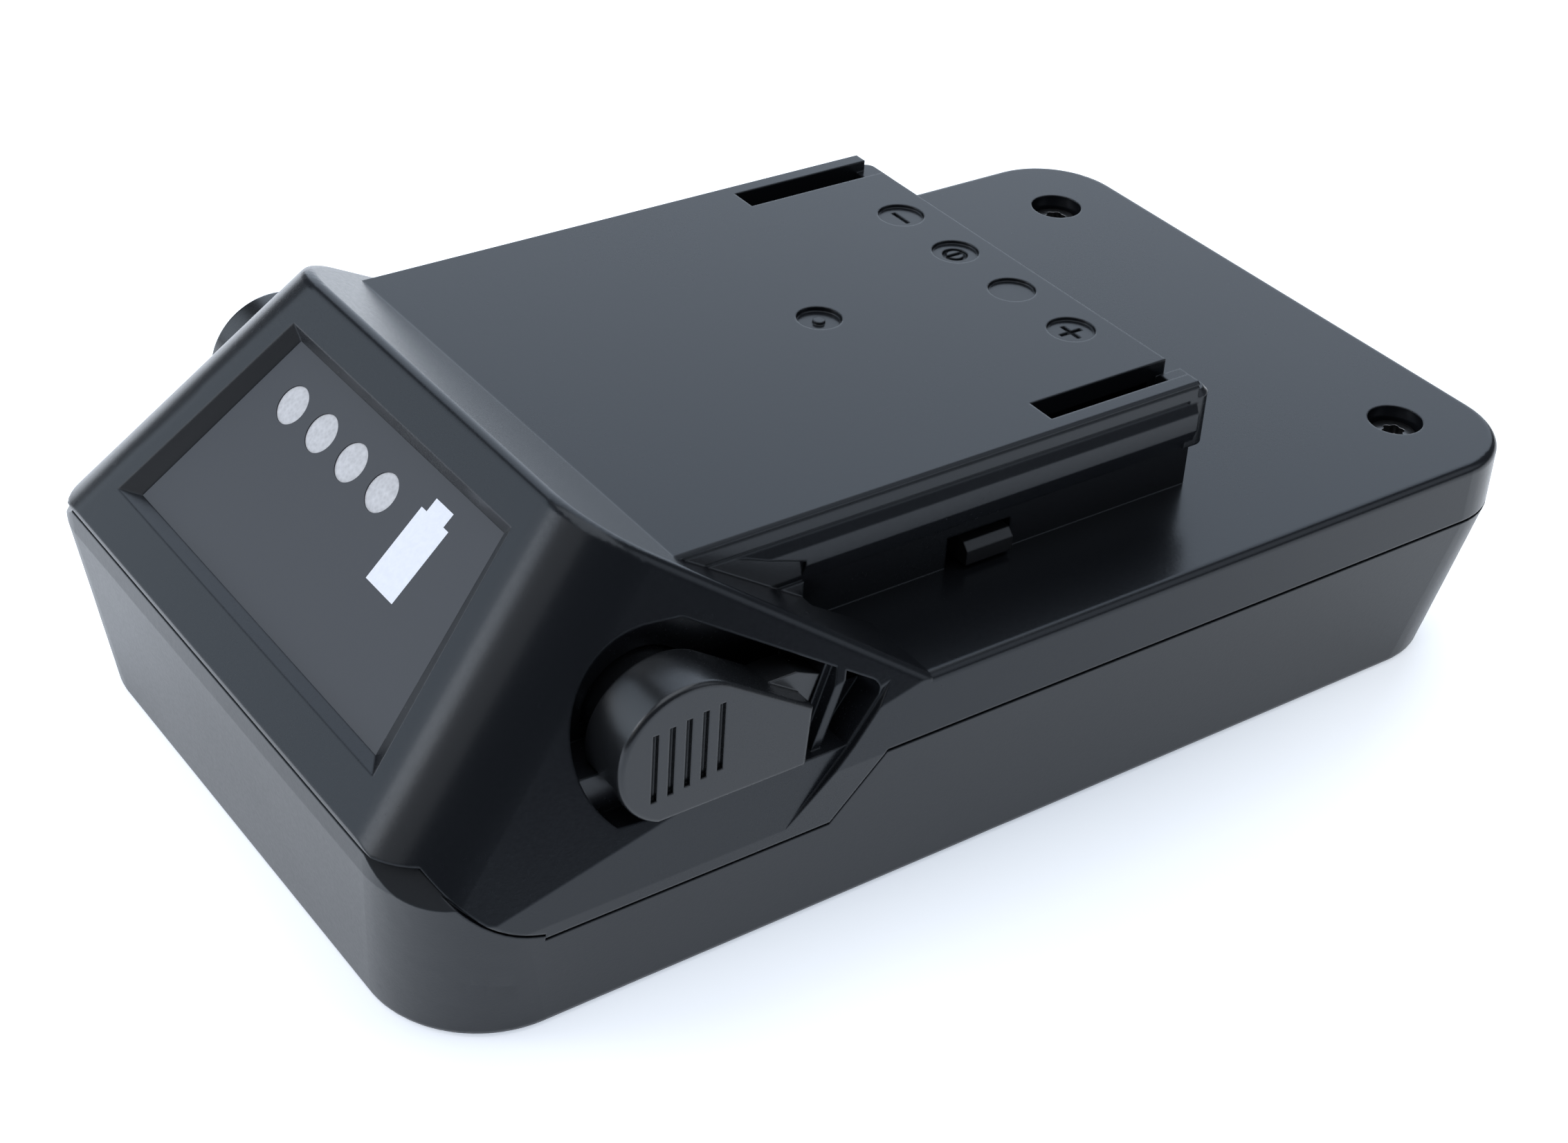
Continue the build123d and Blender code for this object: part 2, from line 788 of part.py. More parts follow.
rail_end_reach = rail_end_length + wall
rail_end_middle_y = (tower_rear_y + rail_end_y - wall) / 2
with BuildPart() as rail_ends:
    for side in (1, -1):
        with BuildSketch(Plane.XY.offset(deck_height - wall)) as foot:
            with Locations((side * (guide_slot_inner_x + tower_wall_x) / 2, rail_end_middle_y)):
                Rectangle(tower_wall_x - guide_slot_inner_x, rail_end_reach)
        extrude(foot.sketch, amount=rail_end_top_z - deck_height + wall)
        with BuildSketch(Plane.XY.offset(rail_bottom_z)) as nose:
            with Locations((side * (guide_slot_inner_x + rail_side_x) / 2, rail_end_middle_y)):
                Rectangle(rail_side_x - guide_slot_inner_x, rail_end_reach)
            outer_corner = nose.vertices().sort_by(Axis.Y)[-2:].sort_by(Axis.X)[-1 if side > 0 else 0]
            fillet(outer_corner, rail_end_radius)
        extrude(nose.sketch, amount=rail_end_top_z - rail_bottom_z)
    block((-far_reach, 0, 0), (far_reach, tower_rear_y - wall / 2, far_reach), mode=Mode.SUBTRACT)
    rear_top_edges = rail_ends.edges().filter_by(
        lambda edge: edge.center().Z > rail_end_top_z - 0.01 and edge.center().Y > tower_rear_y + 0.5
    )
    chamfer(rear_top_edges, rail_end_radius / 3)

with BuildPart() as pocket_ribs:
    side_prism_both(pocket_rib_points, pocket_inner_x, pocket_rib_x)
    side_prism_both(pocket_rib_base_points, pocket_inner_x, pocket_rib_base_x)
    add(head_block.part, mode=Mode.INTERSECT)
    both_sides(
        (0, -far_reach, 0),
        (pocket_shelf_x - pocket_wall, far_reach, pocket_shelf_z - pocket_wall),
        Mode.SUBTRACT,
    )

with BuildPart() as front_bosses:
    for side in (1, -1):
        upright(side * screw_x, front_screw_y, screw_boss_radius, front_boss_joint_z, ridge_height)
    add(head_block.part, mode=Mode.INTERSECT)

# Upper shell: deck, tower, rails and gauge head
with BuildPart() as upper_housing:
    envelope(0, 0, deck_height)
    fillet(upper_housing.edges().group_by(Axis.Z)[-1], deck_edge_radius)
    block((-far_reach, -far_reach, -1), (far_reach, back_slope_end_y, far_reach), mode=Mode.SUBTRACT)
    add(head_block.part)
    block((-tower_wall_x, tower_front_y, deck_height - wall), (tower_wall_x, tower_rear_y, tower_height))
    add(rails.part)
    add(shell_hollow.part, mode=Mode.SUBTRACT)
    both_sides(
        (tower_wall_x, channel_front_y, deck_height),
        (tower_wall_x + channel_width, back_slope_end_y + wall, rail_bottom_z),
        Mode.SUBTRACT,
    )

    # Rim trimmed along the parting line
    add(below_raised_parting.part, mode=Mode.SUBTRACT)

    # Pockets and openings of the release buttons
    side_extrusion(pocket_outline(0, pocket_shelf_z), pocket_floor_x, far_reach, mode=Mode.SUBTRACT)
    side_extrusion(pocket_outline(0, button_foot_z), pocket_shelf_x, far_reach, mode=Mode.SUBTRACT)
    side_prism_both(panel_points, panel_x, far_reach, Mode.SUBTRACT)
    add(pocket_ribs.part)
    side_extrusion(
        button_outline(button_clearance - button_neck_inset, button_core_foot_z),
        pocket_inner_x - pocket_wall,
        pocket_floor_x + pocket_wall,
        mode=Mode.SUBTRACT,
    )

    # Guide slots, rail ends, latch windows and contact slots
    both_sides(
        (guide_slot_inner_x, guide_slot_front_y, guide_slot_floor_z),
        (guide_slot_outer_x, tower_rear_y + wall, tower_height + wall),
        Mode.SUBTRACT,
    )
    add(rail_ends.part)
    both_sides(
        (tower_wall_x - 2 * wall, latch_window_front_y, deck_height),
        (tower_wall_x + wall, latch_window_rear_y, latch_window_high_z),
        Mode.SUBTRACT,
    )
    for x in contact_positions:
        block(
            (x - contact_slot_width / 2, tower_rear_y - 2 * wall, contact_slot_low_z),
            (x + contact_slot_width / 2, tower_rear_y + wall, contact_slot_high_z),
            mode=Mode.SUBTRACT,
        )

    # Spring stops hanging from the roof of the head
    stop_front_y = spring_y - spring_stop_half_y
    stop_rear_y = spring_y + spring_stop_half_y
    side_prism_both(
        [
            (stop_front_y, spring_stop_low_z),
            (stop_front_y, back_slope_height(stop_front_y) - wall / 2),
            (stop_rear_y, back_slope_height(stop_rear_y) - wall / 2),
            (stop_rear_y, spring_stop_low_z),
        ],
        spring_stop_x - spring_stop_thickness,
        spring_stop_x,
    )

    # Screw bosses
    add(front_bosses.part)
    for side in (1, -1):
        upright(side * screw_x, rear_screw_y, screw_boss_radius, boss_joint_z, deck_height - wall / 2)
        upright(side * screw_x, rear_screw_y, screw_recess_radius, screw_seat, far_reach, Mode.SUBTRACT)
        upright(side * screw_x, rear_screw_y, screw_clear_radius, 0, far_reach, Mode.SUBTRACT)
        upright(
            side * screw_x, front_screw_y, screw_pilot_radius,
            0, front_screw_seat_z + screw_head_height + screw_length, Mode.SUBTRACT,
        )

    # Recess of the charge gauge and holes for its light pipes
    with BuildSketch(gauge_plane) as gauge_rim:
        Polygon(
            (-gauge_bottom_half - gauge_rim_bottom_width, gauge_bottom_s - gauge_rim_low),
            (gauge_bottom_half + gauge_rim_bottom_width, gauge_bottom_s - gauge_rim_low),
            (gauge_top_half + gauge_rim_top_width, gauge_top_s + gauge_rim_high),
            (-gauge_top_half - gauge_rim_top_width, gauge_top_s + gauge_rim_high),
            align=None,
        )
    with BuildSketch(film_plane) as gauge_seat:
        Polygon(*film_corners, align=None)
    loft([gauge_rim.sketch.face(), gauge_seat.sketch.face()], ruled=True, mode=Mode.SUBTRACT)
    extrude(gauge_seat.sketch, amount=-gauge_film_thickness, mode=Mode.SUBTRACT)
    for n in range(lens_count):
        with Locations(gauge_plane * Pos(lens_first_x + n * lens_spacing, lens_s, 0)):
            Cylinder(light_pipe_radius + light_pipe_clearance, 4 * gauge_wall, mode=Mode.SUBTRACT)
    for side in (1, -1):
        post_height = gauge_board_depth - gauge_wall + wall / 2
        post_middle = -gauge_board_depth + post_height / 2
        with Locations(gauge_plane * Pos(side * gauge_post_x, gauge_post_s, post_middle)):
            Cylinder(gauge_post_radius, post_height)
            Cylinder(gauge_screw_radius, post_height, mode=Mode.SUBTRACT)

    # Gate mark and the four engraved marks
    gate_floor_z = tower_height - gate_mark_depth
    upright(0, gate_mark_y, gate_mark_radius, gate_floor_z, tower_height + wall, Mode.SUBTRACT)
    upright(0, gate_mark_y, gate_nub_radius, tower_height - wall, gate_floor_z + gate_nub_height)
    for x in contact_positions:
        upright(x, mark_y, mark_radius, tower_height - mark_depth, tower_height + wall, Mode.SUBTRACT)
    symbol_floor = Plane.XY.offset(tower_height - 2 * mark_depth)
    with BuildSketch(symbol_floor) as symbols:
        with Locations((contact_positions[0], mark_y)):
            Rectangle(2 * mark_arm, mark_stroke)
        with Locations((contact_positions[3], mark_y)):
            Rectangle(2 * mark_arm, mark_stroke)
            Rectangle(mark_stroke, 2 * mark_arm)
        with Locations((contact_positions[1], mark_y)):
            Circle(mark_arm)
            Circle(mark_arm - mark_stroke, mode=Mode.SUBTRACT)
            Rectangle(mark_stroke, 2 * mark_arm - mark_stroke)
    extrude(symbols.sketch, amount=2 * mark_depth + wall, mode=Mode.SUBTRACT)

upper_housing.part.label = "upper_housing"
export_step(upper_housing.part, "parts/upper_housing.step")

# Tongue of the lower shell and the hollow of its tub
with BuildPart() as tongue:
    envelope(parting_gap_depth, floor_thickness, deck_height)
    add(below_raised_parting.part, mode=Mode.INTERSECT)

with BuildPart() as tub_hollow:
    envelope(wall, 0, deck_height)
    block((-far_reach, -far_reach, -1), (far_reach, far_reach, floor_thickness), mode=Mode.SUBTRACT)
    for side in (1, -1):
        split(bisect_by=corner_plane(side, wall + corner_bevel, 0), keep=Keep.BOTTOM)

# Lower shell: tub with a locating tongue, screw posts, ribs for the cell holders, and
# front corners that carry on the rounded edges of the head
with BuildPart() as lower_housing:
    envelope(0, 0, deck_height)
    fillet(lower_housing.edges().group_by(Axis.Z)[0], base_edge_radius)
    add(below_parting.part, mode=Mode.INTERSECT)
    add(tongue.part)
    add(tub_hollow.part, mode=Mode.SUBTRACT)
    for side in (1, -1):
        split(bisect_by=corner_plane(side, corner_bevel, corner_bevel_angle), keep=Keep.BOTTOM)
    for side in (1, -1):
        upright(side * screw_x, rear_screw_y, screw_boss_radius, floor_thickness / 2, boss_joint_z)
        upright(
            side * screw_x, rear_screw_y, screw_pilot_radius,
            screw_seat - screw_length, far_reach, Mode.SUBTRACT,
        )
        upright(side * screw_x, front_screw_y, screw_boss_radius, floor_thickness / 2, front_boss_joint_z)
        upright(side * screw_x, front_screw_y, screw_recess_radius, -1, front_screw_seat_z, Mode.SUBTRACT)
        upright(side * screw_x, front_screw_y, screw_clear_radius, -1, far_reach, Mode.SUBTRACT)
    for low_y in (holder_front_y - locating_rib_thickness, holder_rear_y):
        both_sides(
            (holder_inner_x, low_y, floor_thickness / 2),
            (holder_inner_x + locating_rib_width, low_y + locating_rib_thickness, locating_rib_height),
        )

lower_housing.part.label = "lower_housing"
export_step(lower_housing.part, "parts/lower_housing.step")

# Two rear screws, driven down through the deck
with BuildPart() as rear_screws:
    for side in (1, -1):
        upright(side * screw_x, rear_screw_y, screw_head_radius, screw_seat, screw_head_top)
        upright(side * screw_x, rear_screw_y, screw_shank_radius, screw_seat - screw_length, screw_seat)
        six_lobe_socket(side * screw_x, rear_screw_y, screw_head_top, socket_depth, -1)

rear_screws.part.label = "rear_screws"
export_step(rear_screws.part, "parts/rear_screws.step")

# Two front screws, driven up from the underside
with BuildPart() as front_screws:
    for side in (1, -1):
        head_low = front_screw_seat_z - screw_head_height
        upright(side * screw_x, front_screw_y, screw_head_radius, head_low, front_screw_seat_z)
        upright(
            side * screw_x, front_screw_y, screw_shank_radius,
            front_screw_seat_z, front_screw_seat_z + screw_length,
        )
        six_lobe_socket(side * screw_x, front_screw_y, head_low, socket_depth, 1)

front_screws.part.label = "front_screws"
export_step(front_screws.part, "parts/front_screws.step")

# Film of the charge gauge, with windows for the lenses and the cell symbol
icon_points = [
    (icon_left_x, icon_low_s),
    (icon_right_x, icon_low_s),
    (icon_right_x, icon_high_s),
    (icon_right_x - icon_cap_inset, icon_high_s),
    (icon_right_x - icon_cap_inset, icon_cap_s),
    (icon_left_x + icon_cap_inset, icon_cap_s),
    (icon_left_x + icon_cap_inset, icon_high_s),
    (icon_left_x, icon_high_s),
]
lens_positions = [(lens_first_x + n * lens_spacing, lens_s) for n in range(lens_count)]
film_back_plane = film_plane.offset(-gauge_film_thickness)

with BuildPart() as gauge_film:
    with BuildSketch(film_plane):
        Polygon(*film_corners, align=None)
        Polygon(*icon_points, align=None, mode=Mode.SUBTRACT)
        with Locations(*lens_positions):
            Circle(lens_radius, mode=Mode.SUBTRACT)
    extrude(amount=-gauge_film_thickness)

gauge_film.part.label = "gauge_film"
export_step(gauge_film.part, "parts/gauge_film.step")

# Pale cell symbol set into the film
with BuildPart() as gauge_symbol:
    with BuildSketch(film_plane):
        Polygon(*icon_points, align=None)
    extrude(amount=-gauge_film_thickness)

gauge_symbol.part.label = "gauge_symbol"
export_step(gauge_symbol.part, "parts/gauge_symbol.step")

# Four lenses, each with a light pipe through the wall of the head
light_pipe_length = gauge_board_depth - led_height - gauge_recess_depth - gauge_film_thickness
with BuildPart() as gauge_lenses:
    with BuildSketch(film_plane):
        with Locations(*lens_positions):
            Circle(lens_radius)
    extrude(amount=-gauge_film_thickness)
    with BuildSketch(film_back_plane):
        with Locations(*lens_positions):
            Circle(light_pipe_radius)
    extrude(amount=-light_pipe_length)

gauge_lenses.part.label = "gauge_lenses"
export_step(gauge_lenses.part, "parts/gauge_lenses.step")

# Gauge board behind the slanted face, its lights and its two screws
gauge_board_plane = gauge_plane.offset(-gauge_board_depth)
gauge_board_back = gauge_board_plane.offset(-gauge_board_thickness)
gauge_posts = [(side * gauge_post_x, gauge_post_s) for side in (1, -1)]

with BuildPart() as gauge_board:
    with BuildSketch(gauge_board_plane):
        with Locations((0, (gauge_board_low_s + gauge_board_high_s) / 2)):
            Rectangle(2 * gauge_board_half_x, gauge_board_high_s - gauge_board_low_s)
        with Locations(*gauge_posts):
            Circle(gauge_screw_radius, mode=Mode.SUBTRACT)
    extrude(amount=-gauge_board_thickness)

gauge_board.part.label = "gauge_board"
export_step(gauge_board.part, "parts/gauge_board.step")

with BuildPart() as gauge_lights:
    with BuildSketch(gauge_board_plane):
        with Locations(*lens_positions):
            Rectangle(led_length, led_width)
    extrude(amount=led_height)

gauge_lights.part.label = "gauge_lights"
export_step(gauge_lights.part, "parts/gauge_lights.step")

with BuildPart() as gauge_board_screws:
    with BuildSketch(gauge_board_back):
        with Locations(*gauge_posts):
            Circle(gauge_screw_head_radius)
    extrude(amount=-gauge_screw_head_height)
    with BuildSketch(gauge_board_back):
        with Locations(*gauge_posts):
            Circle(gauge_screw_radius)
    extrude(amount=gauge_board_thickness + gauge_board_depth - gauge_wall)

gauge_board_screws.part.label = "gauge_board_screws"
export_step(gauge_board_screws.part, "parts/gauge_board_screws.step")

# Release buttons with their latch slides and springs
button_plate_back_x = button_face_x - button_plate_thickness
peg_y = (latch_foot_front_y + latch_foot_rear_y) / 2
peg_z = (latch_low_z + latch_high_z) / 2
for side, name in ((1, "right"), (-1, "left")):
    with BuildPart() as release_button:
        side_extrusion(button_outline(0, button_foot_z), button_plate_back_x, button_face_x, (side,))
        face_edges = release_button.edges().filter_by(
            lambda edge: abs(edge.center().X - side * button_face_x) < 0.01
        )
        fillet(face_edges, button_edge_radius)
        side_extrusion(
            button_outline(0, button_core_foot_z), button_cap_back_x, button_plate_back_x, (side,)
        )
        side_extrusion(
            button_outline(-button_neck_inset, button_core_foot_z), flange_inner_x, button_cap_back_x, (side,)
        )
        side_extrusion(
            button_outline(button_flange_width, button_core_foot_z), flange_inner_x, flange_outer_x, (side,)
        )
        tail_step = side_view.offset(side * tail_step_back_x)
        with BuildSketch(tail_step) as step_outline:
            Polygon(*tail_step_points, align=None)
        extrude(step_outline.sketch, amount=side * (tail_step_x - tail_step_back_x))
        for n in range(rib_slot_count):
            slot_y = rib_slot_first_y + n * rib_slot_pitch
            slot_z = rib_slot_low_z + n * rib_slot_rise + rib_slot_height / 2
            with Locations((side * button_face_x, slot_y, slot_z)):
                Box(2 * rib_slot_depth, rib_slot_width, rib_slot_height, mode=Mode.SUBTRACT)
        with Locations((side * (flange_inner_x - spring_boss_length / 2), spring_y, spring_z)):
            Cylinder(spring_boss_radius, spring_boss_length, rotation=(0, 90, 0))
        with Locations((side * flange_inner_x, peg_y, peg_z)):
            Cylinder(latch_peg_radius, 2 * latch_peg_length, rotation=(0, 90, 0), mode=Mode.SUBTRACT)

    release_button.part.label = "release_button_" + name
    export_step(release_button.part, "parts/release_button_" + name + ".step")

    with BuildPart() as latch_slide:
        low_x = min(side * latch_bar_inner_x, side * latch_bar_outer_x)
        block(
            (low_x, latch_foot_front_y, latch_low_z),
            (low_x + latch_bar_thickness, latch_rear_y, latch_high_z),
        )
        foot_low_x = min(side * latch_bar_outer_x, side * flange_inner_x)
        block(
            (foot_low_x, latch_foot_front_y, latch_low_z),
            (foot_low_x + flange_inner_x - latch_bar_outer_x, latch_foot_rear_y, latch_high_z),
        )
        tooth_low_x = min(side * latch_bar_outer_x, side * latch_tooth_x)
        block(
            (tooth_low_x, latch_tooth_front_y, latch_low_z),
            (tooth_low_x + latch_tooth_x - latch_bar_outer_x, latch_rear_y, latch_high_z),
        )
        tooth_edge = latch_slide.edges().filter_by(Axis.Y).filter_by(
            lambda edge: abs(edge.center().X - side * latch_tooth_x) < 0.01 and edge.center().Z > peg_z
        )
        chamfer(tooth_edge, latch_tooth_chamfer)
        with Locations((side * (flange_inner_x + latch_peg_length / 2), peg_y, peg_z)):
            Cylinder(latch_peg_radius, latch_peg_length, rotation=(0, 90, 0))

    latch_slide.part.label = "latch_slide_" + name
    export_step(latch_slide.part, "parts/latch_slide_" + name + ".step")

    spring_low_x = spring_stop_x + spring_wire_radius + spring_end_gap
    spring_length = flange_inner_x - spring_stop_x - 2 * (spring_wire_radius + spring_end_gap)
    spring_mean_radius = spring_outer_radius - spring_wire_radius
    with BuildPart() as button_spring:
        with BuildLine() as coil:
            Helix(
                spring_length / spring_turns,
                spring_length,
                spring_mean_radius,
                center=(side * spring_low_x, spring_y, spring_z),
                direction=(side, 0, 0),
            )
        with BuildSketch(Plane(origin=coil.line @ 0, z_dir=coil.line % 0)):
            Circle(spring_wire_radius)
        sweep()

    button_spring.part.label = "button_spring_" + name
    export_step(button_spring.part, "parts/button_spring_" + name + ".step")

# Cells, lying across the pack in one row, every other one turned round
for n, cell_y in enumerate(cell_centres):
    facing = 1 if n % 2 == 0 else -1
    shoulder_x = cell_half_length - cell_cap_height
    half_section = [
        (-cell_half_length, 0),
        (-cell_half_length, cell_radius - cell_edge_radius),
        (-cell_half_length + cell_edge_radius, cell_radius),
        (cell_groove_x - cell_groove_width / 2, cell_radius),
        (cell_groove_x, cell_radius - cell_groove_depth),
        (cell_groove_x + cell_groove_width / 2, cell_radius),
        (shoulder_x - cell_edge_radius, cell_radius),
        (shoulder_x, cell_radius - cell_edge_radius),
        (shoulder_x, cell_cap_radius),
        (cell_half_length, cell_cap_radius),
        (cell_half_length, 0),
    ]
    with BuildPart() as cell:
        with BuildSketch(Plane.XY.offset(cell_axis_z)):
            Polygon(*[(facing * x, cell_y + r) for x, r in half_section], align=None)
        revolve(axis=Axis((0, cell_y, cell_axis_z), (1, 0, 0)))

    cell.part.label = "cell_" + str(n + 1)
    export_step(cell.part, "parts/cell_" + str(n + 1) + ".step")

# Insulating rings on the positive ends
with BuildPart() as cell_rings:
    for n, cell_y in enumerate(cell_centres):
        facing = 1 if n % 2 == 0 else -1
        ring_x = facing * (cell_half_length - cell_cap_height / 2)
        with Locations((ring_x, cell_y, cell_axis_z)):
            Cylinder(ring_outer_radius, cell_cap_height, rotation=(0, 90, 0))
            Cylinder(cell_cap_radius, cell_cap_height, rotation=(0, 90, 0), mode=Mode.SUBTRACT)

cell_rings.part.label = "cell_rings"
export_step(cell_rings.part, "parts/cell_rings.step")

# Two holders that carry the cells by their ends
for side, name in ((1, "right"), (-1, "left")):
    low_x = min(side * holder_inner_x, side * holder_outer_x)
    high_x = max(side * holder_inner_x, side * holder_outer_x)
    with BuildPart() as cell_holder:
        block((low_x, holder_front_y, floor_thickness), (high_x, holder_rear_y, holder_top_z))
        for cell_y in cell_centres:
            with Locations(((low_x + high_x) / 2, cell_y, cell_axis_z)):
                Cylinder(cell_radius, high_x - low_x, rotation=(0, 90, 0), mode=Mode.SUBTRACT)
        for screw_y in (board_screw_front_y, board_screw_rear_y):
            upright(side * board_screw_x, screw_y, holder_post_radius, holder_top_z, board_bottom_z)
            upright(
                side * board_screw_x, screw_y, board_screw_radius,
                board_top_z - board_screw_length, board_bottom_z, Mode.SUBTRACT,
            )

    cell_holder.part.label = "cell_holder_" + name
    export_step(cell_holder.part, "parts/cell_holder_" + name + ".step")

# Welded links over the cell ends, each with a tab to the board
strip_low_x = cell_half_length
strip_high_x = cell_half_length + link_thickness
tab_low_z = holder_top_z + link_tab_gap
tab_high_z = tab_low_z + link_thickness
tab_inner_x = board_half_x - link_tab_width
links = [
    ("strip_minus", -1, cell_centres[0], cell_centres[0], board_front_y + link_tab_width),
    ("link_one_two", 1, cell_centres[0], cell_centres[1], cell_centres[1] - cell_pitch / 2),
    ("link_two_three", -1, cell_centres[1], cell_centres[2], cell_centres[2] - cell_pitch / 2),
    ("link_three_four", 1, cell_centres[2], cell_centres[3], cell_centres[3] - cell_pitch / 2),
    ("link_four_five", -1, cell_centres[3], cell_centres[4], board_rear_y - link_tab_width),
    ("strip_plus", 1, cell_centres[4], cell_centres[4], board_rear_y - link_tab_width),
]
for name, side, first_y, last_y, tab_y in links:
    with BuildPart() as link:
        strip_x = min(side * strip_low_x, side * strip_high_x)
        block(
            (strip_x, first_y - link_half_height, cell_axis_z - link_half_height),
            (strip_x + link_thickness, last_y + link_half_height, cell_axis_z + link_half_height),
        )
        riser_y = min(max(tab_y, first_y - link_half_height + link_tab_width / 2), last_y)
        block(
            (strip_x, riser_y - link_tab_width / 2, cell_axis_z),
            (strip_x + link_thickness, riser_y + link_tab_width / 2, tab_high_z),
        )
        turn_x = holder_outer_x - 2 * link_tab_width
        flat_low_x = min(side * turn_x, side * strip_high_x)
        block(
            (flat_low_x, riser_y - link_tab_width / 2, tab_low_z),
            (flat_low_x + strip_high_x - turn_x, riser_y + link_tab_width / 2, tab_high_z),
        )
        run_low_x = min(side * turn_x, side * (turn_x + link_tab_width))
        block(
            (run_low_x, min(riser_y, tab_y) - link_tab_width / 2, tab_low_z),
            (run_low_x + link_tab_width, max(riser_y, tab_y) + link_tab_width / 2, tab_high_z),
        )
        inner_low_x = min(side * tab_inner_x, side * turn_x)
        block(
            (inner_low_x, tab_y - link_tab_width / 2, tab_low_z),
            (inner_low_x + turn_x - tab_inner_x, tab_y + link_tab_width / 2, tab_high_z),
        )
        pad_low_x = min(side * tab_inner_x, side * (tab_inner_x + link_tab_width / 2))
        block(
            (pad_low_x, tab_y - link_tab_width / 4, tab_high_z),
            (pad_low_x + link_tab_width / 2, tab_y + link_tab_width / 4, board_bottom_z),
        )

    link.part.label = name
    export_step(link.part, "parts/" + name + ".step")

# Insulating sheets over the links
with BuildPart() as insulation_sheets:
    both_sides(
        (strip_high_x, holder_front_y, cell_axis_z - insulation_half_height),
        (strip_high_x + insulation_thickness, holder_rear_y, cell_axis_z + insulation_half_height),
    )

insulation_sheets.part.label = "insulation_sheets"
export_step(insulation_sheets.part, "parts/insulation_sheets.step")

# Foam pad between the cells and the floor
with BuildPart() as cell_pad:
    block(
        (-pad_half_x, cell_centres[0], floor_thickness),
        (pad_half_x, cell_centres[-1], cell_axis_z - cell_radius),
    )

cell_pad.part.label = "cell_pad"
export_step(cell_pad.part, "parts/cell_pad.step")

# Protection board on the holders, its screws and its main components
board_screw_places = [
    (side * board_screw_x, y) for side in (1, -1) for y in (board_screw_front_y, board_screw_rear_y)
]
with BuildPart() as protection_board:
    block((-board_half_x, board_front_y, board_bottom_z), (board_half_x, board_rear_y, board_top_z))
    for x, y in board_screw_places:
        upright(x, y, board_screw_radius, board_bottom_z, board_top_z, Mode.SUBTRACT)

protection_board.part.label = "protection_board"
export_step(protection_board.part, "parts/protection_board.step")

with BuildPart() as board_screws:
    for x, y in board_screw_places:
        upright(x, y, board_screw_head_radius, board_top_z, board_top_z + board_screw_head_height)
        upright(x, y, board_screw_radius, board_top_z - board_screw_length, board_top_z)

board_screws.part.label = "board_screws"
export_step(board_screws.part, "parts/board_screws.step")

transistor_rear_y = transistor_front_y + transistor_length
with BuildPart() as power_transistors:
    for x in (-transistor_x, transistor_x):
        block(
            (x - transistor_width / 2, transistor_front_y, board_top_z),
            (x + transistor_width / 2, transistor_rear_y, board_top_z + transistor_height),
        )

power_transistors.part.label = "power_transistors"
export_step(power_transistors.part, "parts/power_transistors.step")

with BuildPart() as charge_controller:
    block(
        (-controller_size / 2, controller_front_y, board_top_z),
        (controller_size / 2, controller_front_y + controller_size, board_top_z + controller_height),
    )

charge_controller.part.label = "charge_controller"
export_step(charge_controller.part, "parts/charge_controller.step")

# Temperature sensor between the middle cell and the board
with BuildPart() as temperature_sensor:
    block(
        (-sensor_length / 2, cell_centres[2] - sensor_width / 2, cell_axis_z + cell_radius),
        (sensor_length / 2, cell_centres[2] + sensor_width / 2, board_bottom_z),
    )

temperature_sensor.part.label = "temperature_sensor"
export_step(temperature_sensor.part, "parts/temperature_sensor.step")

# Flat cable from the gauge board to its socket on the protection board
with BuildPart() as gauge_cable_socket:
    block(
        (-socket_half_x, board_front_y + socket_gap, board_top_z),
        (socket_half_x, board_front_y + socket_gap + socket_length, board_top_z + socket_height),
    )

gauge_cable_socket.part.label = "gauge_cable_socket"
export_step(gauge_cable_socket.part, "parts/gauge_cable_socket.step")

cable_ends = []
for reach in (0, cable_lead):
    place = (gauge_board_plane * Pos(0, gauge_board_low_s - reach, -gauge_board_thickness / 2)).position
    cable_ends.append((place.Y, place.Z))
socket_face_y = board_front_y + socket_gap
socket_middle_z = board_top_z + socket_height / 2
cable_points = [
    (cable_ends[1][0] + cable_sag_steps[0][0], cable_ends[1][1] + cable_sag_steps[0][1]),
    (cable_ends[1][0] + cable_sag_steps[1][0], cable_ends[1][1] + cable_sag_steps[1][1]),
    (socket_face_y + cable_rise_steps[0][0], socket_middle_z + cable_rise_steps[0][1]),
    (socket_face_y + cable_rise_steps[1][0], socket_middle_z + cable_rise_steps[1][1]),
]
with BuildPart() as gauge_cable:
    with BuildSketch(side_view.offset(-cable_half_x)) as cable_profile:
        with BuildLine() as cable_run:
            Polyline(
                *cable_ends, *cable_points,
                (socket_face_y - cable_lead, socket_middle_z), (socket_face_y, socket_middle_z),
            )
        trace(line_width=cable_thickness)
    extrude(amount=2 * cable_half_x)

gauge_cable.part.label = "gauge_cable"
export_step(gauge_cable.part, "parts/gauge_cable.step")

# Contact block behind the slots, and the four contact forks in it
fork_half_width = fork_half_gap + fork_thickness
with BuildPart() as contact_block:
    block((-block_half_x, block_front_y, board_top_z), (block_half_x, block_rear_y, block_top_z))
    fork_pocket_half = fork_half_width + fork_pocket_clearance
    for x in contact_positions:
        block(
            (x - fork_pocket_half, fork_front_y, fork_low_z - fork_pocket_clearance),
            (x + fork_pocket_half, block_rear_y + wall, fork_high_z + fork_pocket_clearance),
            mode=Mode.SUBTRACT,
        )
        block(
            (x - fork_half_gap, fork_front_y, board_top_z - 1),
            (x + fork_half_gap, fork_front_y + fork_thickness, fork_low_z),
            mode=Mode.SUBTRACT,
        )

contact_block.part.label = "contact_block"
export_step(contact_block.part, "parts/contact_block.step")

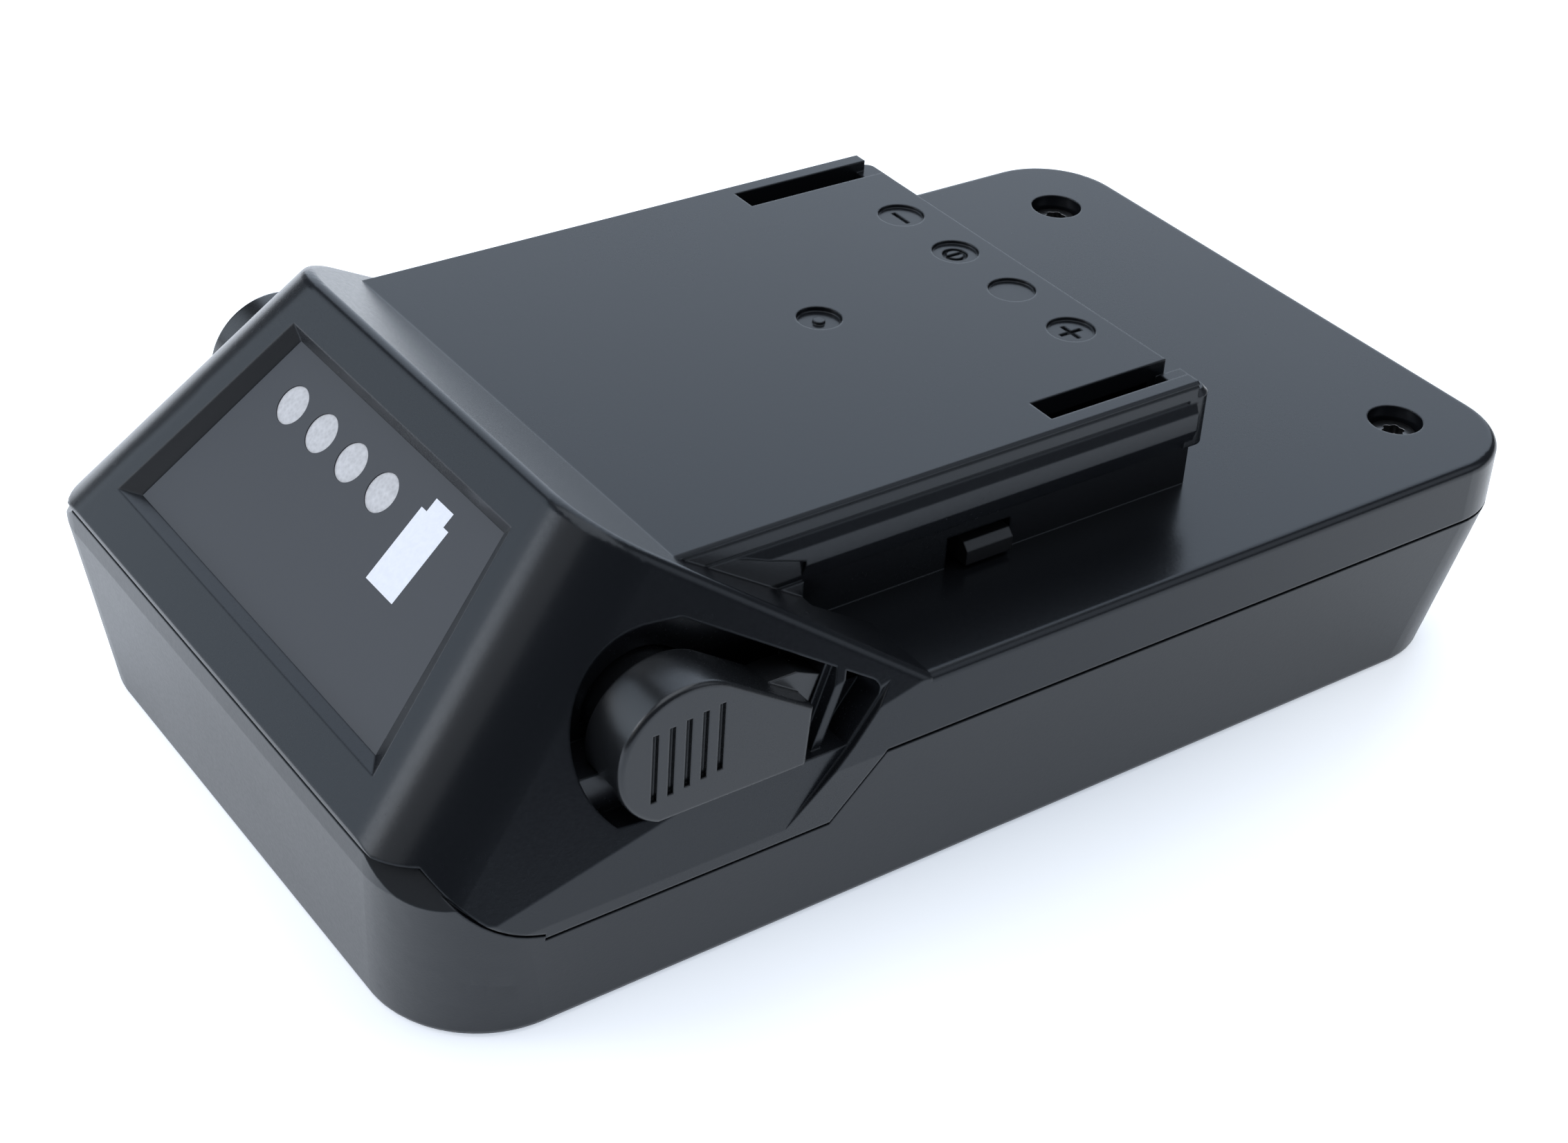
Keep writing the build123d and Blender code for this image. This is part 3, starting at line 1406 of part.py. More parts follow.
for x, name in zip(contact_positions, ("minus", "data", "spare", "plus")):
    with BuildPart() as contact_fork:
        block(
            (x - fork_half_width, fork_front_y, fork_low_z),
            (x + fork_half_width, fork_front_y + fork_thickness, fork_high_z),
        )
        for tine_x in (x - fork_half_width, x + fork_half_gap):
            block(
                (tine_x, fork_front_y, fork_low_z),
                (tine_x + fork_thickness, block_rear_y - fork_thickness, fork_high_z),
            )
        block(
            (x - fork_half_gap, fork_front_y, board_top_z),
            (x + fork_half_gap, fork_front_y + fork_thickness, fork_low_z),
        )

    contact_fork.part.label = "contact_" + name
    export_step(contact_fork.part, "parts/contact_" + name + ".step")
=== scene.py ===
from math import cos, pi, radians, sin

import bmesh
import bpy
from mathutils import Matrix, Vector


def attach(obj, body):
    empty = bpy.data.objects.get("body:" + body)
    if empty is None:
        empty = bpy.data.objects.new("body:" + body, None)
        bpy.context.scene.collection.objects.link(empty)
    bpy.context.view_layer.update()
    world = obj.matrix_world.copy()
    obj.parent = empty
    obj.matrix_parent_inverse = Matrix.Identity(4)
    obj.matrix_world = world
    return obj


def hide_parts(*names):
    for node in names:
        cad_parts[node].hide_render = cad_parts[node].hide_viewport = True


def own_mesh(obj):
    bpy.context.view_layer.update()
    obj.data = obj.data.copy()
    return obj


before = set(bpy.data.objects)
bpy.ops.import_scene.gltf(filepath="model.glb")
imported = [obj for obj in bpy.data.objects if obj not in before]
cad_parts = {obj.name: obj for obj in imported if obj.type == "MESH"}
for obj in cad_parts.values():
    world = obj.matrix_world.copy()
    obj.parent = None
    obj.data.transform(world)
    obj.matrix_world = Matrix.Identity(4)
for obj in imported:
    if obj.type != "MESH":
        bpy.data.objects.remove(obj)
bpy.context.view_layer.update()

mm = 0.001
scene = bpy.context.scene


cameraSetup = {
    "place": (0.1872, -0.1434, 0.1675),
    "forward": (-0.66370, 0.53634, -0.52139),
    "roll": 4.89,
    "lens": 64.3,
    "shift": (-0.0545, -0.0786),
    "sensor": 36,
    "near": 0.01,
    "far": 20,
}


def placeCamera(setup):
    forward = Vector(setup["forward"]).normalized()
    level = forward.cross(Vector((0, 0, 1))).normalized()
    upright = level.cross(forward)
    roll = radians(setup["roll"])
    right = level * cos(roll) + upright * sin(roll)
    up = upright * cos(roll) - level * sin(roll)
    data = bpy.data.cameras.new("photoCamera")
    data.lens = setup["lens"]
    data.sensor_width = setup["sensor"]
    data.sensor_fit = "HORIZONTAL"
    data.shift_x, data.shift_y = setup["shift"]
    data.clip_start = setup["near"]
    data.clip_end = setup["far"]
    data.dof.use_dof = False
    camera = bpy.data.objects.new("photoCamera", data)
    turn = Matrix((right, up, -forward)).transposed().to_4x4()
    camera.matrix_world = Matrix.Translation(Vector(setup["place"])) @ turn
    scene.collection.objects.link(camera)
    scene.camera = camera


placeCamera(cameraSetup)

lightSetup = {
    "sky": (0.80, 0.88, 1.0),
    "skyStrength": 0.12,
    "lamps": {  # backWall shows in the tops, the front ones in the slanted face and its corner
        "backWall": {"place": (-0.80, 0.66, 0.60), "size": 1.3, "power": 8.2, "tint": (0.77, 0.87, 1.0)},
        "overhead": {"place": (0.02, 0.05, 1.20), "size": 1.2, "power": 8.5, "tint": (0.94, 0.97, 1.0)},
        "frontWindow": {"place": (-0.87, -0.88, 0.64), "size": 1.1, "power": 6.0, "tint": (0.80, 0.90, 1.0)},
        "windowEdge": {"place": (-0.50, -1.15, 0.80), "size": 0.5, "power": 2.6, "tint": (1.0, 0.97, 0.95)},
        "frontGlow": {"place": (0.05, -1.15, 0.92), "size": 1.0, "power": 2.4, "tint": (1.0, 0.97, 0.95)},
        "rearGlow": {"place": (0.75, 0.80, 0.78), "size": 0.8, "power": 1.8, "tint": (0.88, 0.93, 1.0)},
    },
}


def placeLight(name, lamp):
    data = bpy.data.lights.new(name, "AREA")
    data.shape = "SQUARE"
    data.size = lamp["size"]
    data.energy = lamp["power"]
    data.color = lamp["tint"]
    light = bpy.data.objects.new(name, data)
    place = Vector(lamp["place"])
    light.matrix_world = Matrix.Translation(place) @ (-place).to_track_quat("-Z", "Y").to_matrix().to_4x4()
    scene.collection.objects.link(light)


for lampName, lamp in lightSetup["lamps"].items():
    placeLight(lampName, lamp)

world = bpy.data.worlds.new("softRoom")
world.use_nodes = True
background = world.node_tree.nodes["Background"]
background.inputs["Color"].default_value = (*lightSetup["sky"], 1)
background.inputs["Strength"].default_value = lightSetup["skyStrength"]
scene.world = world
scene.view_settings.view_transform = "Standard"
print("camera and light are set")


class Signal:  # a node's output that can be added, scaled and compared

    def __init__(self, maker, socket):
        self.maker = maker
        self.socket = socket

    def sum(self, operation, first, second):
        return self.maker.add("ShaderNodeMath", {"operation": operation}, {0: first, 1: second})

    def __add__(self, other):
        return self.sum("ADD", self, other)

    def __mul__(self, other):
        return self.sum("MULTIPLY", self, other)

    def __sub__(self, other):
        return self.sum("SUBTRACT", self, other)

    def __rsub__(self, other):
        return self.sum("SUBTRACT", other, self)

    def __truediv__(self, other):
        return self.sum("DIVIDE", self, other)

    def __pow__(self, other):
        return self.sum("POWER", self, other)

    def __mod__(self, other):
        return self.sum("FLOORED_MODULO", self, other)

    def __gt__(self, other):
        return self.sum("GREATER_THAN", self, other)

    def __lt__(self, other):
        return self.sum("LESS_THAN", self, other)

    def clear(self, low, high):  # 0 below low, 1 above high, a soft step between
        return self.maker.add(
            "ShaderNodeMapRange", {"interpolation_type": "SMOOTHSTEP"},
            {"Value": self, "From Min": low, "From Max": high, "To Min": 0.0, "To Max": 1.0},
        )


class Maker:  # puts nodes into one tree

    def __init__(self, tree):
        self.tree = tree

    def add(self, kind, settings=None, sockets=None, out=0):
        node = self.tree.nodes.new(kind)
        for key, value in (settings or {}).items():
            setattr(node, key, value)
        for key, value in (sockets or {}).items():
            for entry in value if isinstance(value, list) else [value]:
                if isinstance(entry, Signal):
                    self.tree.links.new(entry.socket, node.inputs[key])
                else:
                    node.inputs[key].default_value = entry
        return Signal(self, node.outputs[out])


class Recipe(Maker):  # the node tree of one finish

    def __init__(self, name):
        self.material = bpy.data.materials.new(name)
        self.material.use_nodes = True
        super().__init__(self.material.node_tree)
        self.tree.nodes.clear()
        self.coords = self.add("ShaderNodeTexCoord", out="Object")

    def noise(self, scale, detail=2.0, roughness=0.5, stretch=None):
        where = self.coords
        if stretch:
            where = self.add("ShaderNodeMapping", None, {"Vector": where, "Scale": stretch})
        return self.add(
            "ShaderNodeTexNoise", {"noise_dimensions": "3D"},
            {"Vector": where, "Scale": scale, "Detail": detail, "Roughness": roughness},
        )

    def pits(self, scale, smoothness=0.3):
        return self.add(
            "ShaderNodeTexVoronoi", {"feature": "SMOOTH_F1"},
            {"Vector": self.coords, "Scale": scale, "Smoothness": smoothness}, "Distance",
        )

    def part(self, axis):  # one coordinate, in metres
        return self.add("ShaderNodeSeparateXYZ", None, {0: self.coords}, axis)

    def blend(self, factor, first, second):
        return self.add(
            "ShaderNodeMix", {"data_type": "RGBA"}, {0: factor, 6: colour4(first), 7: colour4(second)}, 2,
        )

    def edges(self, radius, samples=6, least=0.02, most=0.22):  # a rolled normal, and where it rolls
        soft = self.add("ShaderNodeBevel", {"samples": samples}, {"Radius": radius})
        plain = self.add("ShaderNodeNewGeometry", out="Normal")
        match = self.add("ShaderNodeVectorMath", {"operation": "DOT_PRODUCT"}, {0: soft, 1: plain}, "Value")
        return soft, (1 - match).clear(least, most)

    def bump(self, height, distance, normal=None):
        sockets = {"Height": height, "Distance": distance}
        if normal:
            sockets["Normal"] = normal
        return self.add("ShaderNodeBump", None, sockets)

    def finish(self, **sockets):
        shader = self.tree.nodes.new("ShaderNodeBsdfPrincipled")
        for key, value in sockets.items():
            socket = shader.inputs[key.replace("_", " ")]
            if isinstance(value, Signal):
                self.tree.links.new(value.socket, socket)
            else:
                socket.default_value = colour4(value) if isinstance(value, tuple) else value
        output = self.tree.nodes.new("ShaderNodeOutputMaterial")
        self.tree.links.new(shader.outputs[0], output.inputs["Surface"])
        return self.material


def colour4(value):
    return (*value, 1) if isinstance(value, tuple) and len(value) == 3 else value


plasticSetup = {
    "upperShell": {
        "base": (0.0070, 0.0080, 0.0100), "worn": (0.024, 0.026, 0.030), "tint": (0.84, 0.91, 1.0),
        "rough": 0.25, "grain": 0.005, "radius": 0.30, "level": 0.36,
    },
    "lowerShell": {
        "base": (0.0085, 0.0095, 0.0115), "worn": (0.026, 0.028, 0.032), "tint": (0.84, 0.91, 1.0),
        "rough": 0.33, "grain": 0.007, "radius": 0.25, "level": 0.36,
    },
    "buttonPlastic": {
        "base": (0.0070, 0.0078, 0.0090), "worn": (0.030, 0.030, 0.032), "tint": (0.90, 0.94, 1.0),
        "rough": 0.25, "grain": 0.0015, "radius": 0.25, "level": 0.55,
    },
    "latchPlastic": {
        "base": (0.0080, 0.0084, 0.0095), "worn": (0.026, 0.027, 0.030), "tint": (0.88, 0.93, 1.0),
        "rough": 0.34, "grain": 0.004, "radius": 0.20, "level": 0.45,
    },
    "holderPlastic": {
        "base": (0.42, 0.43, 0.42), "worn": (0.55, 0.56, 0.55), "tint": (1.0, 1.0, 1.0),
        "rough": 0.50, "grain": 0.008, "radius": 0.20, "level": 0.50,
    },
    "blockPlastic": {
        "base": (0.012, 0.012, 0.013), "worn": (0.040, 0.040, 0.042), "tint": (1.0, 1.0, 1.0),
        "rough": 0.45, "grain": 0.006, "radius": 0.15, "level": 0.50,
    },
    "socketPlastic": {
        "base": (0.62, 0.60, 0.54), "worn": (0.75, 0.73, 0.68), "tint": (1.0, 1.0, 1.0),
        "rough": 0.45, "grain": 0.005, "radius": 0.10, "level": 0.50,
    },
}

mouldSetup = {  # shared by all moulded plastics: noise scales, detail and roughness, then how they mix
    "cloud": (38.0, 3.0, 0.55), "grain": (2600.0, 2.0, 0.6), "speckle": (5200.0, 1.0, 0.5),
    "rub": (140.0, 4.0, 0.65), "rubFrom": 0.18, "rubTo": 0.62, "rubShow": 0.55, "dark": 0.88, "light": 1.12,
    "cloudRough": 0.09, "grainRough": 0.10, "rubRough": 0.04, "grainHeight": 0.7, "speckleHeight": 0.3,
}


def mouldedPlastic(name, setup, mould):
    recipe = Recipe(name)
    cloud = recipe.noise(*mould["cloud"])
    grain = recipe.noise(*mould["grain"])
    speckle = recipe.noise(*mould["speckle"])
    soft, edge = recipe.edges(setup["radius"] * mm)
    rub = (recipe.noise(*mould["rub"]) * edge).clear(mould["rubFrom"], mould["rubTo"])
    dark = tuple(mould["dark"] * c for c in setup["base"])
    light = tuple(mould["light"] * c for c in setup["base"])
    tone = recipe.blend(cloud * 0.5 + grain * 0.5, dark, light)
    colour = recipe.blend(rub * mould["rubShow"], tone, setup["worn"])
    rough = (cloud - 0.5) * mould["cloudRough"] + (grain - 0.5) * mould["grainRough"] + setup["rough"]
    rough = rough - rub * mould["rubRough"]
    height = grain * mould["grainHeight"] + speckle * mould["speckleHeight"]
    normal = recipe.bump(height, setup["grain"] * mm, normal=soft)
    return recipe.finish(
        Base_Color=colour, Roughness=rough, Normal=normal, Specular_Tint=setup["tint"],
        Specular_IOR_Level=setup["level"],
    )


finishes = {name: mouldedPlastic(name, setup, mouldSetup) for name, setup in plasticSetup.items()}

metalSetup = {
    "screwSteel": {
        "base": (0.075, 0.076, 0.080), "bright": (0.30, 0.30, 0.31), "rough": 0.30, "grain": 0.004,
    },
    "springSteel": {
        "base": (0.42, 0.42, 0.43), "bright": (0.62, 0.62, 0.62), "rough": 0.28, "grain": 0.003,
    },
    "smallSteel": {
        "base": (0.50, 0.50, 0.50), "bright": (0.70, 0.70, 0.70), "rough": 0.30, "grain": 0.003,
    },
    "nickelStrip": {
        "base": (0.55, 0.53, 0.49), "bright": (0.72, 0.70, 0.66), "rough": 0.32, "grain": 0.004,
    },
    "contactCopper": {
        "base": (0.62, 0.40, 0.22), "bright": (0.80, 0.58, 0.38), "rough": 0.30, "grain": 0.003,
    },
}

brushSetup = {  # shared by all metals
    "streak": (420.0, 4.0, 0.6, (1.0, 9.0, 1.0)), "stain": (160.0, 3.0, 0.55), "edge": 0.12,
    "streakShow": 0.5, "edgeShow": 0.6, "streakRough": 0.16, "stainRough": 0.10,
}


def brushedMetal(name, setup, brush):
    recipe = Recipe(name)
    streak = recipe.noise(*brush["streak"])
    stain = recipe.noise(*brush["stain"])
    soft, edge = recipe.edges(brush["edge"] * mm)
    shine = streak * brush["streakShow"] + edge * brush["edgeShow"]
    colour = recipe.blend(shine, setup["base"], setup["bright"])
    rough = (streak - 0.5) * brush["streakRough"] + (stain - 0.5) * brush["stainRough"] + setup["rough"]
    normal = recipe.bump(streak, setup["grain"] * mm, normal=soft)
    return recipe.finish(Base_Color=colour, Roughness=rough, Metallic=1.0, Normal=normal)


finishes.update({name: brushedMetal(name, setup, brushSetup) for name, setup in metalSetup.items()})

filmSetup = {
    "dust": (1500.0, 3.0, 0.7), "cloud": (60.0, 2.0, 0.5), "dustShow": 0.4, "cloudShow": 0.6,
    "low": (0.016, 0.019, 0.027), "high": (0.026, 0.030, 0.041), "rough": 0.42, "cloudRough": 0.08,
    "dustRough": 0.06, "relief": 0.004,
}


def smokedFilm(setup):
    recipe = Recipe("smokedFilm")
    dust = recipe.noise(*setup["dust"])
    cloud = recipe.noise(*setup["cloud"])
    tone = recipe.blend(cloud * setup["cloudShow"] + dust * setup["dustShow"], setup["low"], setup["high"])
    rough = (cloud - 0.5) * setup["cloudRough"] + (dust - 0.5) * setup["dustRough"] + setup["rough"]
    return recipe.finish(Base_Color=tone, Roughness=rough, Normal=recipe.bump(dust, setup["relief"] * mm))


lensFinishSetup = {
    "mottle": (1500.0, 3.0, 0.65), "pits": 2600.0, "mottleShow": 0.7, "pitShow": 0.5,
    "low": (0.36, 0.365, 0.39), "high": (0.62, 0.625, 0.66), "rough": 0.36, "mottleRough": 0.15,
    "relief": 0.02,
}


def milkyLens(setup):
    recipe = Recipe("milkyLens")
    mottle = recipe.noise(*setup["mottle"])
    pit = recipe.pits(setup["pits"])
    tone = recipe.blend(mottle * setup["mottleShow"] + pit * setup["pitShow"], setup["low"], setup["high"])
    rough = (mottle - 0.5) * setup["mottleRough"] + setup["rough"]
    return recipe.finish(Base_Color=tone, Roughness=rough, Normal=recipe.bump(pit, setup["relief"] * mm))


symbolSetup = {
    "ink": (2200.0, 3.0, 0.6), "low": (0.72, 0.75, 0.84), "high": (0.84, 0.87, 0.95), "rough": 0.45,
    "inkRough": 0.1, "relief": 0.004,
}


def paleSymbol(setup):
    recipe = Recipe("paleSymbol")
    ink = recipe.noise(*setup["ink"])
    tone = recipe.blend(ink, setup["low"], setup["high"])
    rough = (ink - 0.5) * setup["inkRough"] + setup["rough"]
    return recipe.finish(Base_Color=tone, Roughness=rough, Normal=recipe.bump(ink, setup["relief"] * mm))


finishes["smokedFilm"] = smokedFilm(filmSetup)
finishes["milkyLens"] = milkyLens(lensFinishSetup)
finishes["paleSymbol"] = paleSymbol(symbolSetup)

softSetup = {  # paper, foam, chips and other plain materials: a grain, and a cloud nine times as wide
    "insulationPaper": {
        "low": (0.42, 0.30, 0.14), "high": (0.56, 0.42, 0.22), "rough": 0.78, "scale": 900.0,
    },
    "foamPad": {
        "low": (0.030, 0.030, 0.032), "high": (0.075, 0.075, 0.078), "rough": 0.92, "scale": 1400.0,
    },
    "chipBlack": {
        "low": (0.016, 0.016, 0.017), "high": (0.034, 0.034, 0.036), "rough": 0.50, "scale": 2400.0,
    },
    "sensorBead": {
        "low": (0.03, 0.03, 0.03), "high": (0.06, 0.06, 0.06), "rough": 0.25, "scale": 900.0,
    },
    "ribbonCable": {
        "low": (0.55, 0.55, 0.54), "high": (0.72, 0.72, 0.70), "rough": 0.45, "scale": 700.0,
    },
    "lampBody": {
        "low": (0.75, 0.75, 0.70), "high": (0.88, 0.88, 0.84), "rough": 0.30, "scale": 1500.0,
    },
}

softMix = {
    "widen": 9, "grain": (4.0, 0.6), "cloud": (2.0, 0.5), "grainShow": 0.6, "cloudShow": 0.4,
    "grainRough": 0.16, "relief": 0.01,
}


def softFinish(name, setup, mix):
    recipe = Recipe(name)
    grain = recipe.noise(setup["scale"], *mix["grain"])
    cloud = recipe.noise(setup["scale"] / mix["widen"], *mix["cloud"])
    tone = recipe.blend(grain * mix["grainShow"] + cloud * mix["cloudShow"], setup["low"], setup["high"])
    rough = (grain - 0.5) * mix["grainRough"] + setup["rough"]
    return recipe.finish(Base_Color=tone, Roughness=rough, Normal=recipe.bump(grain, mix["relief"] * mm))


finishes.update({name: softFinish(name, setup, softMix) for name, setup in softSetup.items()})

cellSetup = {
    "firstY": -34.9, "pitch": 18.7, "z": 11.9, "canRadius": 7.9, "endX": 32.2,
    "wrinkle": (260.0, 4.0, 0.6, (0.4, 1.0, 1.0)), "turned": (900.0, 3.0, 0.6),
    "sleeveLow": (0.045, 0.15, 0.25), "sleeveHigh": (0.075, 0.21, 0.33), "canLow": (0.52, 0.52, 0.51),
    "canHigh": (0.66, 0.66, 0.65), "rough": 0.33, "wrinkleRough": 0.16, "turnedRough": 0.08, "relief": 0.02,
}


def wrappedCell(setup):  # shrink sleeve with the steel can showing at both ends
    recipe = Recipe("wrappedCell")
    pitch = setup["pitch"] * mm
    before = setup["firstY"] * mm - pitch * 3.5  # well ahead of the first cell, half a pitch off
    across = (recipe.part("Y") - before) % pitch - pitch / 2
    height = recipe.part("Z") - setup["z"] * mm
    away = (across * across + height * height) ** 0.5
    along = (recipe.part("X") ** 2) ** 0.5
    steel = (away < setup["canRadius"] * mm) * (along > setup["endX"] * mm)
    wrinkle = recipe.noise(*setup["wrinkle"])
    turned = recipe.noise(*setup["turned"])
    sleeve = recipe.blend(wrinkle, setup["sleeveLow"], setup["sleeveHigh"])
    can = recipe.blend(turned, setup["canLow"], setup["canHigh"])
    rough = (wrinkle - 0.5) * setup["wrinkleRough"] + (turned - 0.5) * setup["turnedRough"]
    return recipe.finish(
        Base_Color=recipe.blend(steel, sleeve, can), Metallic=steel, Roughness=rough + setup["rough"],
        Normal=recipe.bump(wrinkle, setup["relief"] * mm),
    )


finishes["wrappedCell"] = wrappedCell(cellSetup)

boardSetup = {
    "lane": 1.9, "width": 0.55, "sway": 2.4, "pads": 2.54, "padRadius": 0.42, "padsFrom": 0.56,
    "weave": (700.0, 4.0, 0.6), "bend": (150.0, 0.0, 0.5), "patch": (90.0, 0.0),
    "maskLow": (0.008, 0.060, 0.028), "maskHigh": (0.014, 0.085, 0.038), "copper": (0.030, 0.150, 0.070),
    "laneShow": 0.7, "pad": (0.72, 0.70, 0.64), "rough": 0.34, "weaveRough": 0.12, "relief": 0.03,
    "padHeight": 1.5, "weaveHeight": 0.2,
}


def tracedBoard(setup):  # solder mask over copper lanes, with rows of small pads
    recipe = Recipe("tracedBoard")
    weave = recipe.noise(*setup["weave"])
    bend = recipe.noise(*setup["bend"]) * (setup["sway"] * mm)
    lane = (recipe.part("X") + bend) % (setup["lane"] * mm) < setup["width"] * mm
    pitch = setup["pads"] * mm
    columns = recipe.part("X") % pitch - pitch / 2
    rows = recipe.part("Y") % pitch - pitch / 2
    dot = (columns * columns + rows * rows) ** 0.5 < setup["padRadius"] * mm
    spot = dot * (recipe.noise(*setup["patch"]) > setup["padsFrom"])
    mask = recipe.blend(weave, setup["maskLow"], setup["maskHigh"])
    traced = recipe.blend(lane * setup["laneShow"], mask, setup["copper"])
    height = lane + spot * setup["padHeight"] + weave * setup["weaveHeight"]
    return recipe.finish(
        Base_Color=recipe.blend(spot, traced, setup["pad"]), Metallic=spot,
        Roughness=(weave - 0.5) * setup["weaveRough"] + setup["rough"],
        Normal=recipe.bump(height, setup["relief"] * mm),
    )


finishes["tracedBoard"] = tracedBoard(boardSetup)

floorSetup = {
    "reach": 6.0, "cloud": (6.0, 2.0, 0.5), "low": (0.86, 0.87, 0.88), "high": (0.90, 0.91, 0.92),
    "rough": 0.6, "cloudRough": 0.1, "glow": (0.41, 0.45, 0.51), "frontGlow": (1.05, 1.11, 1.22),
    "frontFrom": -0.10, "frontTo": 0.35, "rearGlow": (1.0, 1.0, 1.0), "rearFrom": 0.0, "rearTo": 0.12,
    "rearShow": 0.45,
}


def paleFloor(setup):  # glows like a lit white table, most of all in front and to the left
    recipe = Recipe("paleFloor")
    cloud = recipe.noise(*setup["cloud"])
    tone = recipe.blend(cloud, setup["low"], setup["high"])
    front = ((recipe.part("X") + recipe.part("Y")) * -1.0).clear(setup["frontFrom"], setup["frontTo"])
    rear = recipe.part("Y").clear(setup["rearFrom"], setup["rearTo"]) * setup["rearShow"]
    glow = recipe.blend(front, recipe.blend(rear, setup["glow"], setup["rearGlow"]), setup["frontGlow"])
    return recipe.finish(
        Base_Color=tone, Roughness=(cloud - 0.5) * setup["cloudRough"] + setup["rough"],
        Emission_Color=glow, Emission_Strength=1.0,
    )


def layFloor(setup):
    reach = setup["reach"]
    mesh = bpy.data.meshes.new("paleFloor")
    corners = [(-reach, -reach, 0), (reach, -reach, 0), (reach, reach, 0), (-reach, reach, 0)]
    mesh.from_pydata(corners, [], [(0, 1, 2, 3)])
    mesh.materials.append(paleFloor(setup))
    floor = bpy.data.objects.new("paleFloor", mesh)
    scene.collection.objects.link(floor)
    return floor


layFloor(floorSetup)
print("finishes are mixed")


def newPiece(name, mesh, material, body, slotName, *nodes):
    piece = bpy.data.objects.new(name, mesh)
    scene.collection.objects.link(piece)
    if material:
        mesh.materials.clear()
        mesh.materials.append(material)
    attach(piece, body)
    if nodes:
        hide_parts(*nodes)
    return piece


class Grower(Maker):  # a Geometry Nodes tree with named inputs for its sizes

    def __init__(self, name, sizes):
        super().__init__(bpy.data.node_groups.new(name, "GeometryNodeTree"))
        sockets = self.tree.interface
        sockets.new_socket("Places", in_out="INPUT", socket_type="NodeSocketGeometry")
        for label in sizes:
            sockets.new_socket(label, in_out="INPUT", socket_type="NodeSocketFloat")
        sockets.new_socket("Result", in_out="OUTPUT", socket_type="NodeSocketGeometry")
        self.inputs = self.tree.nodes.new("NodeGroupInput")

    def size(self, label):
        return Signal(self, self.inputs.outputs[label])

    def vector(self, x=0.0, y=0.0, z=0.0):
        return self.add("ShaderNodeCombineXYZ", None, {"X": x, "Y": y, "Z": z})

    def moved(self, shape, **sockets):
        return self.add("GeometryNodeTransform", None, {"Geometry": shape, **sockets})

    def joined(self, *shapes):
        return self.add("GeometryNodeJoinGeometry", None, {"Geometry": list(shapes)})

    def column(self, radius, depth, sides=48, rings=1, centre=1):
        return self.add(
            "GeometryNodeMeshCylinder", {"fill_type": "TRIANGLE_FAN"},
            {"Vertices": sides, "Side Segments": rings, "Fill Segments": centre,
             "Radius": radius, "Depth": depth}, "Mesh",
        )

    def domed(self, shape, radius, crown):  # the upper face falls away from its middle
        where = self.add("GeometryNodeInputPosition")
        x, y, z = (self.add("ShaderNodeSeparateXYZ", None, {0: where}, axis) for axis in "XYZ")
        away = (x * x + y * y) / (radius * radius)
        drop = (z > 0.0) * away * crown * -1.0
        return self.add(
            "GeometryNodeSetPosition", None, {"Geometry": shape, "Offset": self.vector(z=drop)},
        )

    def finish(self, shape, material, crease=32.0):
        placed = self.add(
            "GeometryNodeInstanceOnPoints", None, {"Points": self.size("Places"), "Instance": shape},
        )
        real = self.add("GeometryNodeRealizeInstances", None, {"Geometry": placed})
        angle = self.add("GeometryNodeInputMeshEdgeAngle", out="Unsigned Angle")
        smooth = self.add("GeometryNodeSetShadeSmooth", {"domain": "FACE"}, {"Geometry": real})
        sharp = self.add(
            "GeometryNodeSetShadeSmooth", {"domain": "EDGE"},
            {"Geometry": smooth, "Selection": angle > radians(crease), "Shade Smooth": False},
        )
        dressed = self.add("GeometryNodeSetMaterial", None, {"Geometry": sharp, "Material": material})
        end = self.tree.nodes.new("NodeGroupOutput")
        self.tree.links.new(dressed.socket, end.inputs["Result"])
        return self.tree


def grown(name, tree, places, sizes, turn=Matrix.Identity(4)):  # grown in millimetres, then scaled
    mesh = bpy.data.meshes.new(name + "Places")
    mesh.from_pydata([Vector(place) for place in places], [], [])
    draft = bpy.data.objects.new(name + "Draft", mesh)
    scene.collection.objects.link(draft)
    growth = draft.modifiers.new("growth", "NODES")
    growth.node_group = tree
    for item in tree.interface.items_tree:
        if item.name in sizes:
            growth[item.identifier] = sizes[item.name]
    bpy.context.view_layer.update()
    depsgraph = bpy.context.evaluated_depsgraph_get()
    shape = bpy.data.meshes.new_from_object(
        draft.evaluated_get(depsgraph), preserve_all_data_layers=True, depsgraph=depsgraph
    )
    shape.name = name
    draft.modifiers.clear()
    bpy.data.objects.remove(draft)
    shape.transform(turn @ Matrix.Scale(mm, 4))
    return shape


screwShape = {
    "headSides": 48, "headRings": 2, "headFans": 5, "lobes": 6, "waist": 0.66, "lobeRound": 0.22,
    "lobeSteps": 5, "socketTurn": 3.1, "shankSides": 24, "threadSteps": 20, "ridgeSides": 4,
    "threadShare": 0.98,
}


